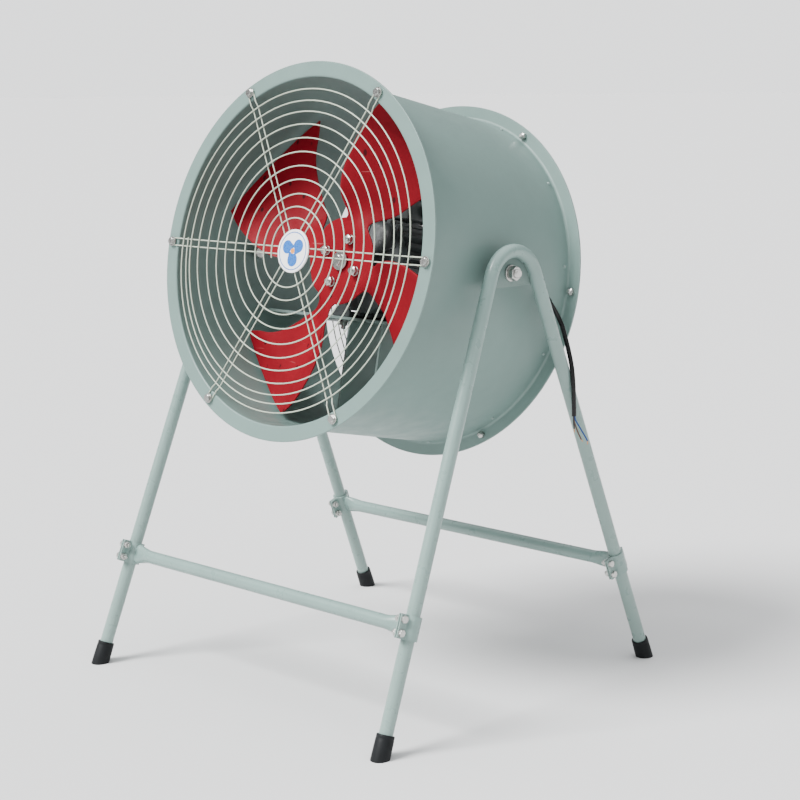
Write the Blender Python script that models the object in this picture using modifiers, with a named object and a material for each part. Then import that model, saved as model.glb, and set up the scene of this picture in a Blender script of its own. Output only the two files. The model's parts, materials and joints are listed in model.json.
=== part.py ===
"""Axial drum fan on a tubular floor stand, in metres.

The row frame stands on the floor: +Z is up, the air inlet faces -Y and the
tilt pivots lie along X.  The drum and all it holds are modelled in the fan
frame, whose x runs to the right, y up and z towards the air inlet.
"""
import math

import bmesh
import bpy
from mathutils import Matrix, Vector

# ---- driving dimensions -------------------------------------------------
GAP = 0.0003                    # clearance kept between touching pieces

DRUM_LENGTH = 0.330
DRUM_BORE = 0.256               # inner radius of the drum
DRUM_WALL = 0.0025
FLANGE_RADIUS = 0.2795
FLANGE_THICK = 0.003
FLANGE_FILLET = 0.004
DRUM_AXIS_HEIGHT = 0.6249
TILT = math.radians(12.1)       # inlet side up
PIVOT_RISE = 0.0078             # pivot bolts above the drum's axis

BOLT_CIRCLE = 0.268
BOLT_COUNT = 6
GUARD_WIRE = 0.0010             # wire radius
SPIRAL_ANGLE = 197.5            # its inner end, in degrees; the wire runs clockwise from there
SPIRAL_END = 178 - 360 * 10     # its outer end, ten turns on
SPOKE_STEP = 60                 # degrees between the spokes
SPIRAL_CROSSINGS = (            # mm from the axis at each spoke the wire passes, a row to a turn
    41.1, 47.1, 49.8, 52.1, 53.1, 54.6,
    58.4, 63.4, 66.9, 70.8, 72.4, 73.5,
    76.3, 81.3, 86.7, 89.7, 92.1, 95.7,
    99.1, 103.8, 106.7, 110.0, 112.6, 117.0,
    121.0, 124.3, 126.6, 129.6, 134.2, 140.5,
    142.7, 145.6, 146.5, 148.2, 153.6, 161.1,
    162.4, 165.7, 167.1, 168.6, 172.9, 179.5,
    184.2, 187.5, 185.7, 187.9, 192.0, 198.7,
    206.3, 206.4, 204.3, 205.5, 206.9, 218.1,
    224.6, 222.8, 220.0, 219.0, 220.9, 229.5,
    232.7)
RIM_CROSSINGS = (243.9, 239.9, 237.3, 234.8, 235.0, 241.6)    # the same for the closed outer ring
RIM_SINK = 0.0009               # how deep the outer ring is welded into the spokes
SPOKE_SPACING = 0.011           # between the two wires of a spoke
BADGE_RADIUS = 0.032
BADGE_OFFSET = 0.006

HUB_Z = 0.061                   # front face of the impeller disc
HUB_RADIUS = 0.066
SHEET = 0.003
BLADE_TIP = 0.249
BLADE_COUNT = 4
HUB_BOLT_CIRCLE = 0.0355
HUB_BOLT_ANGLE = 67.0

# edges of the first blade: radius, degrees round the axis
LEADING_EDGE = ((0.050, 168.0), (0.070, 174.0), (0.090, 180.0), (0.115, 182.0), (0.140, 180.5),
                (0.165, 177.5), (0.195, 173.5), (0.225, 169.5), (BLADE_TIP, 165.5))
TRAILING_EDGE = ((0.050, 150.0), (0.070, 146.0), (0.090, 139.0), (0.115, 135.0), (0.142, 132.5),
                 (0.165, 130.5), (0.185, 128.5), (0.206, 125.5), (0.228, 121.5), (BLADE_TIP, 119.0))
BLADE_ROWS = (0.050, 0.068, 0.088, 0.110, 0.150, 0.206, 0.228, BLADE_TIP)
BLADE_COLUMNS = 5
BLADE_LEAD_RISE = 0.021
BLADE_PITCH_DROP = 0.052
BLADE_CAMBER = 0.006
TIP_CREASE = 0.206
TIP_BEND = 0.25

SHAFT_RADIUS = 0.0095
SHAFT_SHOULDER = 0.024          # z of the motor's front face
MOTOR_RADIUS = 0.068
FIN_HEIGHT = 0.010
FIN_COUNT = 24
MOTOR_BORE = 0.0605
MOTOR_LENGTH = 0.176
SHAFT_HEIGHT = 0.080            # shaft axis above the motor's feet

TUBE_RADIUS = 0.010
TUBE_WALL = 0.0015
BEND_RADIUS = 0.0513
BEND_DROP = 0.0196              # bend centre below the pivot
PIVOT_X = 0.2866                # side frame's plane at the pivot
PLATE_INSET = 0.0075            # pivot plate's middle, inboard of that plane
SIDE_LEAN = math.radians(2.0)
FOOT_SPREAD = 0.302
CLAMP_FRACTION = 0.7354         # clamp place along the straight leg
CLAMP_HEIGHT = 0.034
CLAMP_THICK = 0.0025
CLAMP_EAR = 0.0262
CLAMP_LIP = 0.0172              # short ear on the rear side, without bolts
CLAMP_BOLT_OFFSET = 0.0203      # bolts from the leg's axis
CLAMP_BOLT_STEP = 0.0095

CORD_RADIUS = 0.0035
BOOT_PATH = ((0.2490, 0.0950, 0.5890), (0.2600, 0.0951, 0.5889), (0.2652, 0.0956, 0.5882),
             (0.2690, 0.0968, 0.5866), (0.2711, 0.0986, 0.5841), (0.2722, 0.1007, 0.5813))
BOOT_RADII = (0.0062, 0.0062, 0.0060, 0.0056, 0.0050, 0.0044)
CORD_ROUTE = ((0.2724, 0.1011, 0.5809), (0.2733, 0.1042, 0.5766), (0.2752, 0.1090, 0.5690),
              (0.2785, 0.1140, 0.5580), (0.2845, 0.1160, 0.5440), (0.2905, 0.1170, 0.5257),
              (0.2970, 0.1165, 0.5070), (0.3025, 0.1160, 0.4870), (0.3062, 0.1148, 0.4670),
              (0.3083, 0.1138, 0.4480), (0.3095, 0.1132, 0.4300), (0.3100, 0.1130, 0.4140))
CORE_ENDS = ((0.3205, 0.1340, 0.3690), (0.3165, 0.1285, 0.3735), (0.3100, 0.1150, 0.3880))
CORE_RADIUS = 0.0014

# ---- derived dimensions -------------------------------------------------
HALF_LENGTH = DRUM_LENGTH / 2
DRUM_RADIUS = DRUM_BORE + DRUM_WALL
PIVOT_HEIGHT = DRUM_AXIS_HEIGHT + PIVOT_RISE
SPOKE_Z = HALF_LENGTH + GAP + GUARD_WIRE - 0.0023
RING_Z = SPOKE_Z + 2 * GUARD_WIRE + GAP
FOOT_DROP = PIVOT_HEIGHT / math.cos(SIDE_LEAN)
BEND_TO_FOOT = math.hypot(FOOT_SPREAD, FOOT_DROP - BEND_DROP)
LEG_SPLAY = (math.atan2(FOOT_SPREAD, FOOT_DROP - BEND_DROP)
             - math.asin(BEND_RADIUS / BEND_TO_FOOT))


# ---- scene and materials ------------------------------------------------
def clear_scene():
    for obj in list(bpy.data.objects):
        bpy.data.objects.remove(obj, do_unlink=True)


def make_collection(name):
    collection = bpy.data.collections.new(name)
    bpy.context.scene.collection.children.link(collection)
    return collection


def make_material(name, colour, roughness, metallic):
    material = bpy.data.materials.new(name)
    material.use_nodes = True
    shader = material.node_tree.nodes["Principled BSDF"]
    shader.inputs["Base Color"].default_value = (*colour, 1.0)
    shader.inputs["Roughness"].default_value = roughness
    shader.inputs["Metallic"].default_value = metallic
    material.diffuse_color = (*colour, 1.0)
    return material


clear_scene()
FAN = make_collection("drum_fan")
CUTTERS = make_collection("cutters")

FINISHES = {
    "grey_green_paint": ((0.36, 0.45, 0.42), 0.42, 0.0),
    "guard_wire_paint": ((0.60, 0.64, 0.60), 0.45, 0.0),
    "red_paint": ((0.42, 0.02, 0.03), 0.40, 0.0),
    "zinc": ((0.66, 0.66, 0.64), 0.30, 1.0),
    "badge_white": ((0.85, 0.87, 0.88), 0.35, 0.0),
    "motor_grey": ((0.16, 0.18, 0.19), 0.55, 0.0),
    "bare_steel": ((0.45, 0.45, 0.45), 0.40, 1.0),
    "core_steel": ((0.22, 0.22, 0.23), 0.55, 0.8),
    "rubber": ((0.016, 0.017, 0.019), 0.70, 0.0),
    "cord_black": ((0.012, 0.012, 0.013), 0.50, 0.0),
    "core_blue": ((0.03, 0.10, 0.42), 0.45, 0.0),
}


def finish(obj, name):
    """Give the object a material of its own with the named finish."""
    colour, roughness, metallic = FINISHES[name]
    obj.data.materials.clear()
    obj.data.materials.append(make_material(f"{obj.name}_{name}", colour, roughness, metallic))


# ---- building blocks ----------------------------------------------------
def make_empty(name, location, rotation=(0, 0, 0), parent=None):
    empty = bpy.data.objects.new(name, None)
    empty.empty_display_size = 0.05
    empty.location = location
    empty.rotation_euler = rotation
    empty.parent = parent
    FAN.objects.link(empty)
    return empty


def add_object(name, data, parent=None, collection=None):
    obj = bpy.data.objects.new(name, data)
    obj.parent = parent
    (collection or FAN).objects.link(obj)
    if collection is CUTTERS:
        obj.hide_render = True
        obj.display_type = "WIRE"
    return obj


def mesh_object(name, bm, parent=None, collection=None):
    bmesh.ops.recalc_face_normals(bm, faces=bm.faces)
    mesh = bpy.data.meshes.new(name)
    bm.to_mesh(mesh)
    bm.free()
    return add_object(name, mesh, parent, collection)


def rounded(obj, angle=40.0):
    obj.data.shade_smooth()
    obj.data.set_sharp_from_angle(angle=math.radians(angle))


def turned(name, profile, steps, parent=None, collection=None):
    """Turn an (r, z) profile, given down its outer side, about local z."""
    mesh = bpy.data.meshes.new(name)
    closed = min(r for r, _ in profile) > 0
    edges = [(i, i + 1) for i in range(len(profile) - 1)]
    if closed:
        edges.append((len(profile) - 1, 0))
    mesh.from_pydata([(r, 0, z) for r, z in profile], edges, [])
    obj = add_object(name, mesh, parent, collection)
    screw = obj.modifiers.new("turn", "SCREW")
    screw.axis = "Z"
    screw.steps = steps
    screw.render_steps = steps
    screw.use_merge_vertices = True
    screw.merge_threshold = 0.00005
    return obj


def rod_between(name, start, end, radius, sides, parent=None, collection=None):
    start = Vector(start)
    along = Vector(end) - start
    bm = bmesh.new()
    bmesh.ops.create_cone(bm, cap_ends=True, segments=sides, radius1=radius, radius2=radius,
                          depth=along.length)
    turn = Vector((0, 0, 1)).rotation_difference(along).to_matrix().to_4x4()
    bmesh.ops.transform(bm, matrix=Matrix.Translation(start + along / 2) @ turn, verts=bm.verts)
    return mesh_object(name, bm, parent, collection)


def box(name, low, high, parent=None, collection=None):
    low = Vector(low)
    high = Vector(high)
    bm = bmesh.new()
    bmesh.ops.create_cube(bm, size=1.0)
    bmesh.ops.scale(bm, vec=high - low, verts=bm.verts)
    bmesh.ops.translate(bm, vec=(low + high) / 2, verts=bm.verts)
    return mesh_object(name, bm, parent, collection)


def wire_curve(name, points, radius, resolution, parent=None, cyclic=False, radii=None, caps=True):
    curve = bpy.data.curves.new(name, "CURVE")
    curve.dimensions = "3D"
    curve.bevel_depth = radius
    curve.bevel_resolution = resolution
    curve.use_fill_caps = caps and not cyclic
    spline = curve.splines.new("POLY")
    spline.points.add(len(points) - 1)
    spline.use_cyclic_u = cyclic
    for index, point in enumerate(points):
        spline.points[index].co = (*point, 1.0)
        if radii:
            spline.points[index].radius = radii[index] / radius
    return add_object(name, curve, parent)


def flat_outline(name, rings, thickness, parent=None):
    """Extrude closed 2D rings; the first is the outline, the others are holes."""
    curve = bpy.data.curves.new(name, "CURVE")
    curve.dimensions = "2D"
    curve.fill_mode = "BOTH"
    curve.extrude = thickness / 2
    for ring in rings:
        spline = curve.splines.new("POLY")
        spline.points.add(len(ring) - 1)
        spline.use_cyclic_u = True
        for index, (u, v) in enumerate(ring):
            spline.points[index].co = (u, v, 0, 1)
    return add_object(name, curve, parent)


def as_mesh(obj, collection=None):
    """Replace a curve object by the mesh of its evaluated shape."""
    bpy.context.view_layer.update()
    evaluated = obj.evaluated_get(bpy.context.evaluated_depsgraph_get())
    mesh = bpy.data.meshes.new_from_object(evaluated)
    bm = bmesh.new()
    bm.from_mesh(mesh)
    bmesh.ops.remove_doubles(bm, verts=bm.verts, dist=0.00002)
    bmesh.ops.recalc_face_normals(bm, faces=bm.faces)
    bm.to_mesh(mesh)
    bm.free()
    name = obj.name
    matrix = obj.matrix_world.copy()
    bpy.data.objects.remove(obj, do_unlink=True)
    solid = add_object(name, mesh, None, collection)
    solid.matrix_world = matrix
    return solid


def combine(obj, other, operation):
    modifier = obj.modifiers.new(f"{operation.lower()}_{other.name}", "BOOLEAN")
    modifier.operation = operation
    modifier.object = other
    modifier.solver = "EXACT"


def arc(centre, radius, start, end, count):
    """Points on an arc, angles in degrees."""
    points = []
    for step in range(count + 1):
        angle = math.radians(start + (end - start) * step / count)
        points.append((centre[0] + radius * math.cos(angle), centre[1] + radius * math.sin(angle)))
    return points


def polar(radius, degrees, z=0.0):
    angle = math.radians(degrees)
    return Vector((radius * math.cos(angle), radius * math.sin(angle), z))


def smooth_path(points, per_span):
    """Catmull-Rom curve through hand-placed points."""
    knots = [Vector(p) for p in points]
    knots = [2 * knots[0] - knots[1]] + knots + [2 * knots[-1] - knots[-2]]
    path = []
    for i in range(1, len(knots) - 2):
        a, b, c, d = knots[i - 1:i + 3]
        for step in range(per_span):
            t = step / per_span
            path.append(0.5 * (2 * b + (c - a) * t + (2 * a - 5 * b + 4 * c - d) * t ** 2
                               + (3 * b - a - 3 * c + d) * t ** 3))
    path.append(knots[-2])
    return path


def smoothstep(value):
    value = min(1.0, max(0.0, value))
    return value * value * (3 - 2 * value)


def interpolate(table, value):
    """Linear reading of a rising (x, y) table."""
    for (x0, y0), (x1, y1) in zip(table, table[1:]):
        if value <= x1:
            return y0 + (y1 - y0) * (value - x0) / (x1 - x0)
    return table[-1][1]


# ---- frames -------------------------------------------------------------
TILT_PIVOT = make_empty("tilt_pivot", (0, 0, PIVOT_HEIGHT))
FAN_FRAME = make_empty("fan_frame", (0, 0, -PIVOT_RISE), (math.pi / 2 - TILT, 0, 0), TILT_PIVOT)
SPIN_AXIS = make_empty("spin_axis", (0, 0, 0), parent=FAN_FRAME)
SIDES = {
    "right": (1, make_empty("right_side", (PIVOT_X, 0, PIVOT_HEIGHT), (0, -SIDE_LEAN, 0))),
    "left": (-1, make_empty("left_side", (-PIVOT_X, 0, PIVOT_HEIGHT), (0, SIDE_LEAN, 0))),
}
ENDS = {"front": -1, "rear": 1}


# ---- drum ---------------------------------------------------------------
def drum_casing():
    top = HALF_LENGTH
    fillet = FLANGE_FILLET
    half = [(DRUM_BORE, top - 0.002), (DRUM_BORE + 0.0015, top), (FLANGE_RADIUS - 0.0005, top),
            (FLANGE_RADIUS, top - 0.0005), (FLANGE_RADIUS, top - FLANGE_THICK),
            (DRUM_RADIUS + fillet, top - FLANGE_THICK),
            (DRUM_RADIUS + 0.3 * fillet, top - FLANGE_THICK - 0.3 * fillet),
            (DRUM_RADIUS, top - FLANGE_THICK - fillet)]
    profile = half + [(r, -z) for r, z in reversed(half)]
    casing = turned("drum_casing", profile, 56, FAN_FRAME)
    finish(casing, "grey_green_paint")
    for index in range(BOLT_COUNT):
        place = polar(BOLT_CIRCLE, 360 * index / BOLT_COUNT)
        lift = Vector((0, 0, HALF_LENGTH + 0.01))
        combine(casing, rod_between(f"flange_hole_{index}", place - lift, place + lift, 0.0033, 8,
                                    FAN_FRAME, CUTTERS), "DIFFERENCE")
    for name, (side, _) in SIDES.items():
        hole = rod_between(f"pivot_hole_{name}", (side * 0.24, 0, PIVOT_HEIGHT),
                           (side * 0.27, 0, PIVOT_HEIGHT), 0.0064, 12, None, CUTTERS)
        combine(casing, hole, "DIFFERENCE")
    _, y, z = BOOT_PATH[0]
    grommet = rod_between("grommet_hole", (0.24, y, z), (0.27, y, z), 0.0068, 12, None, CUTTERS)
    combine(casing, grommet, "DIFFERENCE")
    rounded(casing)


def pivot_bolts():
    """Shouldered bolt: head inside the drum, collar outside, then thread."""
    collar = (DRUM_RADIUS + 0.0006, PIVOT_X - PLATE_INSET - 0.0028)
    tip = PIVOT_X - PLATE_INSET + 0.0194
    profile = [(0.0, tip), (0.0052, tip), (0.0060, tip - 0.0012),
               (0.0060, collar[1]), (0.0150, collar[1]), (0.0150, collar[0]), (0.0060, collar[0]),
               (0.0060, 0.2530), (0.0105, 0.2530), (0.0105, 0.2455), (0.0, 0.2455)]
    for name, (side, _) in SIDES.items():
        bolt = turned(f"pivot_bolt_{name}", profile, 12, TILT_PIVOT)
        bolt.rotation_euler = (0, side * math.pi / 2, 0)
        finish(bolt, "zinc")
        rounded(bolt)


def eased(values, place):
    """Catmull-Rom value at a fractional place along a row of numbers."""
    index = min(max(int(place), 0), len(values) - 2)
    start, end = values[index], values[index + 1]
    before = values[max(index - 1, 0)]
    after = values[min(index + 2, len(values) - 1)]
    t = place - index
    bend = 2 * before - 5 * start + 4 * end - after
    twist = 3 * start - before - 3 * end + after
    return 0.5 * (2 * start + (end - before) * t + bend * t ** 2 + twist * t ** 3)


def spiral_radius(angle):
    """Distance from the axis of the spiral wire; its angle runs on below zero turn after turn."""
    return eased(SPIRAL_CROSSINGS, (180 - angle) / SPOKE_STEP) / 1000


def rim_radius(angle):
    ring = RIM_CROSSINGS[-1:] + RIM_CROSSINGS + RIM_CROSSINGS[:2]
    return eased(ring, 1 + (180 - angle) % 360 / SPOKE_STEP) / 1000


def spiral_path(facing):
    step = 15
    count = int((SPIRAL_ANGLE - SPIRAL_END) / step)
    angles = [SPIRAL_ANGLE - step * index for index in range(count + 1)] + [SPIRAL_END]
    return [polar(spiral_radius(angle), angle, facing * RING_Z) for angle in angles]


def rim_path(facing):
    step = 10
    level = facing * (SPOKE_Z + 2 * GUARD_WIRE - RIM_SINK)
    return [polar(rim_radius(angle), angle, level) for angle in range(0, 360, step)]


def spoke_end(angle, plane, seat):
    """One end of a spoke loop along X: up the step outside the ring and round the bolt."""
    half = SPOKE_SPACING / 2
    foot = rim_radius(angle) + 0.0025
    head = foot + 0.0080
    run = [(foot, half, plane), (head, half, seat)]
    run += [(u, v, seat) for u, v in arc((BOLT_CIRCLE, 0), half, 90, -90, 4)]
    return run + [(head, -half, seat), (foot, -half, plane)]


def spoke_loop(angle, facing, level):
    """A long wire loop across the guard, looped round two opposite bolts."""
    plane = facing * (SPOKE_Z - level * GAP)
    seat = facing * (HALF_LENGTH + GAP + GUARD_WIRE)
    far = spoke_end(angle + 180, plane, seat)
    loop = spoke_end(angle, plane, seat) + [(-u, -v, z) for u, v, z in far]
    turn = Matrix.Rotation(math.radians(angle), 4, "Z")
    return [turn @ Vector(point) for point in loop]


def guard(name, facing):
    spiral = wire_curve(f"{name}_guard_spiral", spiral_path(facing), GUARD_WIRE, 0, FAN_FRAME)
    finish(spiral, "guard_wire_paint")
    loops = []
    for level, angle in enumerate((0, 60, 120)):
        loop = wire_curve(f"{name}_guard_loop_{level}", spoke_loop(angle, facing, level), GUARD_WIRE,
                          0, FAN_FRAME, cyclic=True)
        loops.append(as_mesh(loop, None if level == 0 else CUTTERS))
    spokes = loops[0]
    spokes.name = f"{name}_guard_spokes"
    finish(spokes, "guard_wire_paint")
    rim = wire_curve(f"{name}_guard_rim", rim_path(facing), GUARD_WIRE, 0, FAN_FRAME, cyclic=True)
    loops.append(as_mesh(rim, CUTTERS))
    for loop in loops[1:]:
        combine(spokes, loop, "UNION")


def guard_bolts(name, facing):
    """Flanged bolt over the wire loop, shank through the flange, nut behind."""
    seat = HALF_LENGTH + 2 * GAP + 2 * GUARD_WIRE
    back = HALF_LENGTH - FLANGE_THICK - GAP
    profile = [(0.0, seat + 0.0050), (0.0046, seat + 0.0050), (0.0052, seat + 0.0008),
               (0.0075, seat + 0.0008), (0.0075, seat), (0.0030, seat), (0.0030, back),
               (0.0055, back), (0.0055, back - 0.0050), (0.0030, back - 0.0050),
               (0.0028, back - 0.0090), (0.0, back - 0.0090)]
    for index in range(BOLT_COUNT):
        bolt = turned(f"{name}_guard_bolt_{index + 1}", profile, 6, FAN_FRAME)
        bolt.location = polar(BOLT_CIRCLE, 360 * index / BOLT_COUNT)
        if facing < 0:
            bolt.rotation_euler = (math.pi, 0, 0)
        finish(bolt, "zinc")


def badge():
    front = SPOKE_Z + GUARD_WIRE + GAP + 0.0026
    back = SPOKE_Z + GUARD_WIRE + GAP
    profile = [(0.0, front), (BADGE_RADIUS - 0.001, front - 0.0002), (BADGE_RADIUS, front - 0.001),
               (BADGE_RADIUS, back), (0.0, back)]
    disc = turned("badge_disc", profile, 32, FAN_FRAME)
    disc.location = (BADGE_OFFSET, 0, 0)
    finish(disc, "badge_white")
    rounded(disc)


# ---- motor --------------------------------------------------------------
def motor_support():
    """Seat plate across the drum on two upright webs."""
    front = -0.008
    back = -0.146
    top = -SHAFT_HEIGHT - GAP
    bottom = top - 0.005
    half_chord = math.sqrt(DRUM_BORE ** 2 - bottom ** 2) - 0.0008
    plate = box("motor_support", (-half_chord, bottom, back), (half_chord, top, front), FAN_FRAME)
    finish(plate, "grey_green_paint")
    for name, x in (("left", -0.035), ("right", 0.035)):
        foot = -math.sqrt(DRUM_BORE ** 2 - (abs(x) + 0.002) ** 2) + 0.0008
        web = box(f"support_web_{name}", (x - 0.002, foot, back + 0.002),
                  (x + 0.002, bottom + 0.001, front - 0.002), FAN_FRAME, CUTTERS)
        combine(plate, web, "UNION")
    for x in (-0.0625, 0.0625):
        for z in (SHAFT_SHOULDER - 0.050, SHAFT_SHOULDER - 0.150):
            hole = rod_between("foot_bolt_hole", (x, bottom - 0.01, z), (x, top + 0.01, z), 0.005, 8,
                               FAN_FRAME, CUTTERS)
            combine(plate, hole, "DIFFERENCE")


def fin_outline():
    ring = []
    step = 360 / FIN_COUNT
    for index in range(FIN_COUNT):
        middle = index * step
        for offset, radius in ((-0.34, 0), (-0.12, FIN_HEIGHT), (0.12, FIN_HEIGHT), (0.34, 0)):
            ring.append(tuple(polar(MOTOR_RADIUS + radius, middle + offset * step)[:2]))
    return ring


def motor_frame():
    front = SHAFT_SHOULDER - 0.034
    back = SHAFT_SHOULDER - MOTOR_LENGTH
    body = flat_outline("motor_frame", [fin_outline()], front - back, FAN_FRAME)
    body.location = (0, 0, (front + back) / 2)
    body = as_mesh(body)
    finish(body, "motor_grey")
    for side in (-1, 1):
        low_x, high_x = sorted((side * 0.040, side * 0.078))
        foot = box("motor_foot", (low_x, -SHAFT_HEIGHT, SHAFT_SHOULDER - 0.166),
                   (high_x, -0.064, SHAFT_SHOULDER - 0.036), FAN_FRAME, CUTTERS)
        combine(body, foot, "UNION")
    bore = rod_between("motor_bore", (0, 0, back + 0.012), (0, 0, front + 0.01), MOTOR_BORE, 32,
                       FAN_FRAME, CUTTERS)
    combine(body, bore, "DIFFERENCE")
    seat = rod_between("bearing_seat", (0, 0, back + 0.004), (0, 0, back + 0.02), 0.016, 16,
                       FAN_FRAME, CUTTERS)
    combine(body, seat, "DIFFERENCE")


def motor_front_shield():
    back = SHAFT_SHOULDER - 0.034 + GAP
    front = SHAFT_SHOULDER
    profile = [(0.0125 + GAP, front), (0.026, front), (0.030, front - 0.004), (0.050, front - 0.012),
               (0.066, front - 0.018), (MOTOR_RADIUS + 0.004, front - 0.024),
               (MOTOR_RADIUS + 0.004, back), (MOTOR_BORE, back), (0.056, front - 0.026),
               (0.024, front - 0.014), (0.0125 + GAP, front - 0.014)]
    shield = turned("motor_front_shield", profile, 24, FAN_FRAME)
    finish(shield, "motor_grey")
    rounded(shield)


def stator_core():
    top = SHAFT_SHOULDER - 0.052
    bottom = SHAFT_SHOULDER - 0.142
    outer = MOTOR_BORE - 0.0006
    profile = [(outer, top), (outer, bottom), (0.0400, bottom), (0.0400, top)]
    core = turned("stator_core", profile, 24, FAN_FRAME)
    finish(core, "core_steel")


def terminal_box():
    """Connection box on the motor's crown, with its lid and cable entry."""
    seat = MOTOR_RADIUS + FIN_HEIGHT + 0.0005
    body = box("terminal_box", (-0.040, seat, -0.104), (0.040, seat + 0.034, -0.030), FAN_FRAME)
    finish(body, "motor_grey")
    lid = box("terminal_lid", (-0.043, seat + 0.033, -0.107), (0.043, seat + 0.040, -0.027), FAN_FRAME,
              CUTTERS)
    combine(body, lid, "UNION")
    entry = rod_between("terminal_entry", (0.035, seat + 0.016, -0.067), (0.056, seat + 0.016, -0.067),
                        0.010, 12, FAN_FRAME, CUTTERS)
    combine(body, entry, "UNION")
    bevel = body.modifiers.new("soft_edges", "BEVEL")
    bevel.width = 0.0015
    bevel.segments = 1


def motor_rotor():
    """Shaft with the laminated core, turned as one balanced piece."""
    end = HUB_Z + 0.0015
    core_top = SHAFT_SHOULDER - 0.054
    core_bottom = SHAFT_SHOULDER - 0.140
    tail = SHAFT_SHOULDER - MOTOR_LENGTH + 0.005
    profile = [(0.0, end), (SHAFT_RADIUS, end), (SHAFT_RADIUS, SHAFT_SHOULDER + 0.004),
               (0.0125, SHAFT_SHOULDER + 0.004), (0.0125, SHAFT_SHOULDER - 0.030),
               (0.016, SHAFT_SHOULDER - 0.034), (0.016, core_top), (0.0394, core_top),
               (0.0394, core_bottom), (0.016, core_bottom), (0.0100, tail + 0.014),
               (0.0100, tail), (0.0, tail)]
    rotor = turned("motor_rotor", profile, 16, SPIN_AXIS)
    finish(rotor, "bare_steel")
    rounded(rotor)


# ---- impeller -----------------------------------------------------------
def blade_point(radius, chord):
    """Point on the blade's middle surface, chord 0 at the leading edge."""
    lead = interpolate(LEADING_EDGE, radius)
    trail = interpolate(TRAILING_EDGE, radius)
    twist = smoothstep((radius - 0.055) / 0.055)
    belly = math.sin(math.pi * chord)
    z = HUB_Z - SHEET / 2 + twist * (BLADE_LEAD_RISE - BLADE_PITCH_DROP * chord - BLADE_CAMBER * belly)
    z -= max(0.0, radius - TIP_CREASE) * TIP_BEND * belly
    return polar(radius, lead + (trail - lead) * chord, z)


def blade(name, turn):
    bm = bmesh.new()
    rows = []
    for radius in BLADE_ROWS:
        rows.append([bm.verts.new(blade_point(radius, column / BLADE_COLUMNS))
                     for column in range(BLADE_COLUMNS + 1)])
    for inner, outer in zip(rows, rows[1:]):
        for column in range(BLADE_COLUMNS):
            bm.faces.new((inner[column], outer[column], outer[column + 1], inner[column + 1]))
    bmesh.ops.rotate(bm, matrix=Matrix.Rotation(math.radians(turn), 3, "Z"), verts=bm.verts)
    sheet = mesh_object(name, bm, SPIN_AXIS, CUTTERS)
    solid = sheet.modifiers.new("sheet", "SOLIDIFY")
    solid.thickness = 0.0024
    solid.offset = 0
    return sheet


def impeller():
    profile = [(SHAFT_RADIUS + 0.0008, HUB_Z), (HUB_RADIUS, HUB_Z), (HUB_RADIUS, HUB_Z - SHEET),
               (SHAFT_RADIUS + 0.0008, HUB_Z - SHEET)]
    disc = turned("impeller", profile, 36, SPIN_AXIS)
    finish(disc, "red_paint")
    for index in range(BLADE_COUNT):
        combine(disc, blade(f"blade_{index + 1}", 90 * index), "UNION")
        place = polar(HUB_BOLT_CIRCLE, HUB_BOLT_ANGLE + 90 * index)
        hole = rod_between(f"hub_hole_{index}", place, place + Vector((0, 0, 0.08)), 0.0044, 8,
                           SPIN_AXIS, CUTTERS)
        combine(disc, hole, "DIFFERENCE")
    disc.data.shade_smooth()


def hub_boss():
    """Cast boss on the shaft, behind the impeller's disc."""
    face = HUB_Z - SHEET - GAP
    bore = SHAFT_RADIUS + GAP
    profile = [(bore, face), (0.046, face), (0.046, face - 0.008), (0.024, face - 0.010),
               (0.022, SHAFT_SHOULDER + 0.005), (bore, SHAFT_SHOULDER + 0.005)]
    boss = turned("hub_boss", profile, 18, SPIN_AXIS)
    finish(boss, "bare_steel")
    for index in range(4):
        place = polar(HUB_BOLT_CIRCLE, HUB_BOLT_ANGLE + 90 * index)
        hole = rod_between(f"boss_hole_{index}", place, place + Vector((0, 0, 0.08)), 0.0044, 8,
                           SPIN_AXIS, CUTTERS)
        combine(boss, hole, "DIFFERENCE")
    rounded(boss)


def hub_bolts():
    face = HUB_Z + GAP
    back = HUB_Z - SHEET - 2 * GAP - 0.010
    profile = [(0.0, face + 0.0125), (0.0036, face + 0.0125), (0.0040, face + 0.0070),
               (0.0074, face + 0.0070), (0.0074, face), (0.0040, face), (0.0040, back),
               (0.0074, back), (0.0074, back - 0.0055), (0.0, back - 0.0055)]
    for index in range(4):
        bolt = turned(f"hub_bolt_{index + 1}", profile, 6, SPIN_AXIS)
        bolt.location = polar(HUB_BOLT_CIRCLE, HUB_BOLT_ANGLE + 90 * index)
        finish(bolt, "zinc")


def shaft_screw():
    """Washer and screw head that hold the hub on the shaft's end."""
    face = HUB_Z + 0.0015 + GAP
    profile = [(0.0, face + 0.0095), (0.0080, face + 0.0095), (0.0090, face + 0.0030),
               (0.0145, face + 0.0030), (0.0145, face), (0.0, face)]
    screw = turned("shaft_screw", profile, 18, SPIN_AXIS)
    finish(screw, "zinc")


# ---- stand --------------------------------------------------------------
def leg_point(end, fraction):
    """Point on a straight leg, in its side frame: 0 at the bend, 1 at the foot."""
    start = polar(BEND_RADIUS, math.degrees(LEG_SPLAY))
    y = start.x + (FOOT_SPREAD - start.x) * fraction
    z = start.y - BEND_DROP
    z += (-FOOT_DROP - z) * fraction
    return Vector((0, end * y, z))


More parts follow.
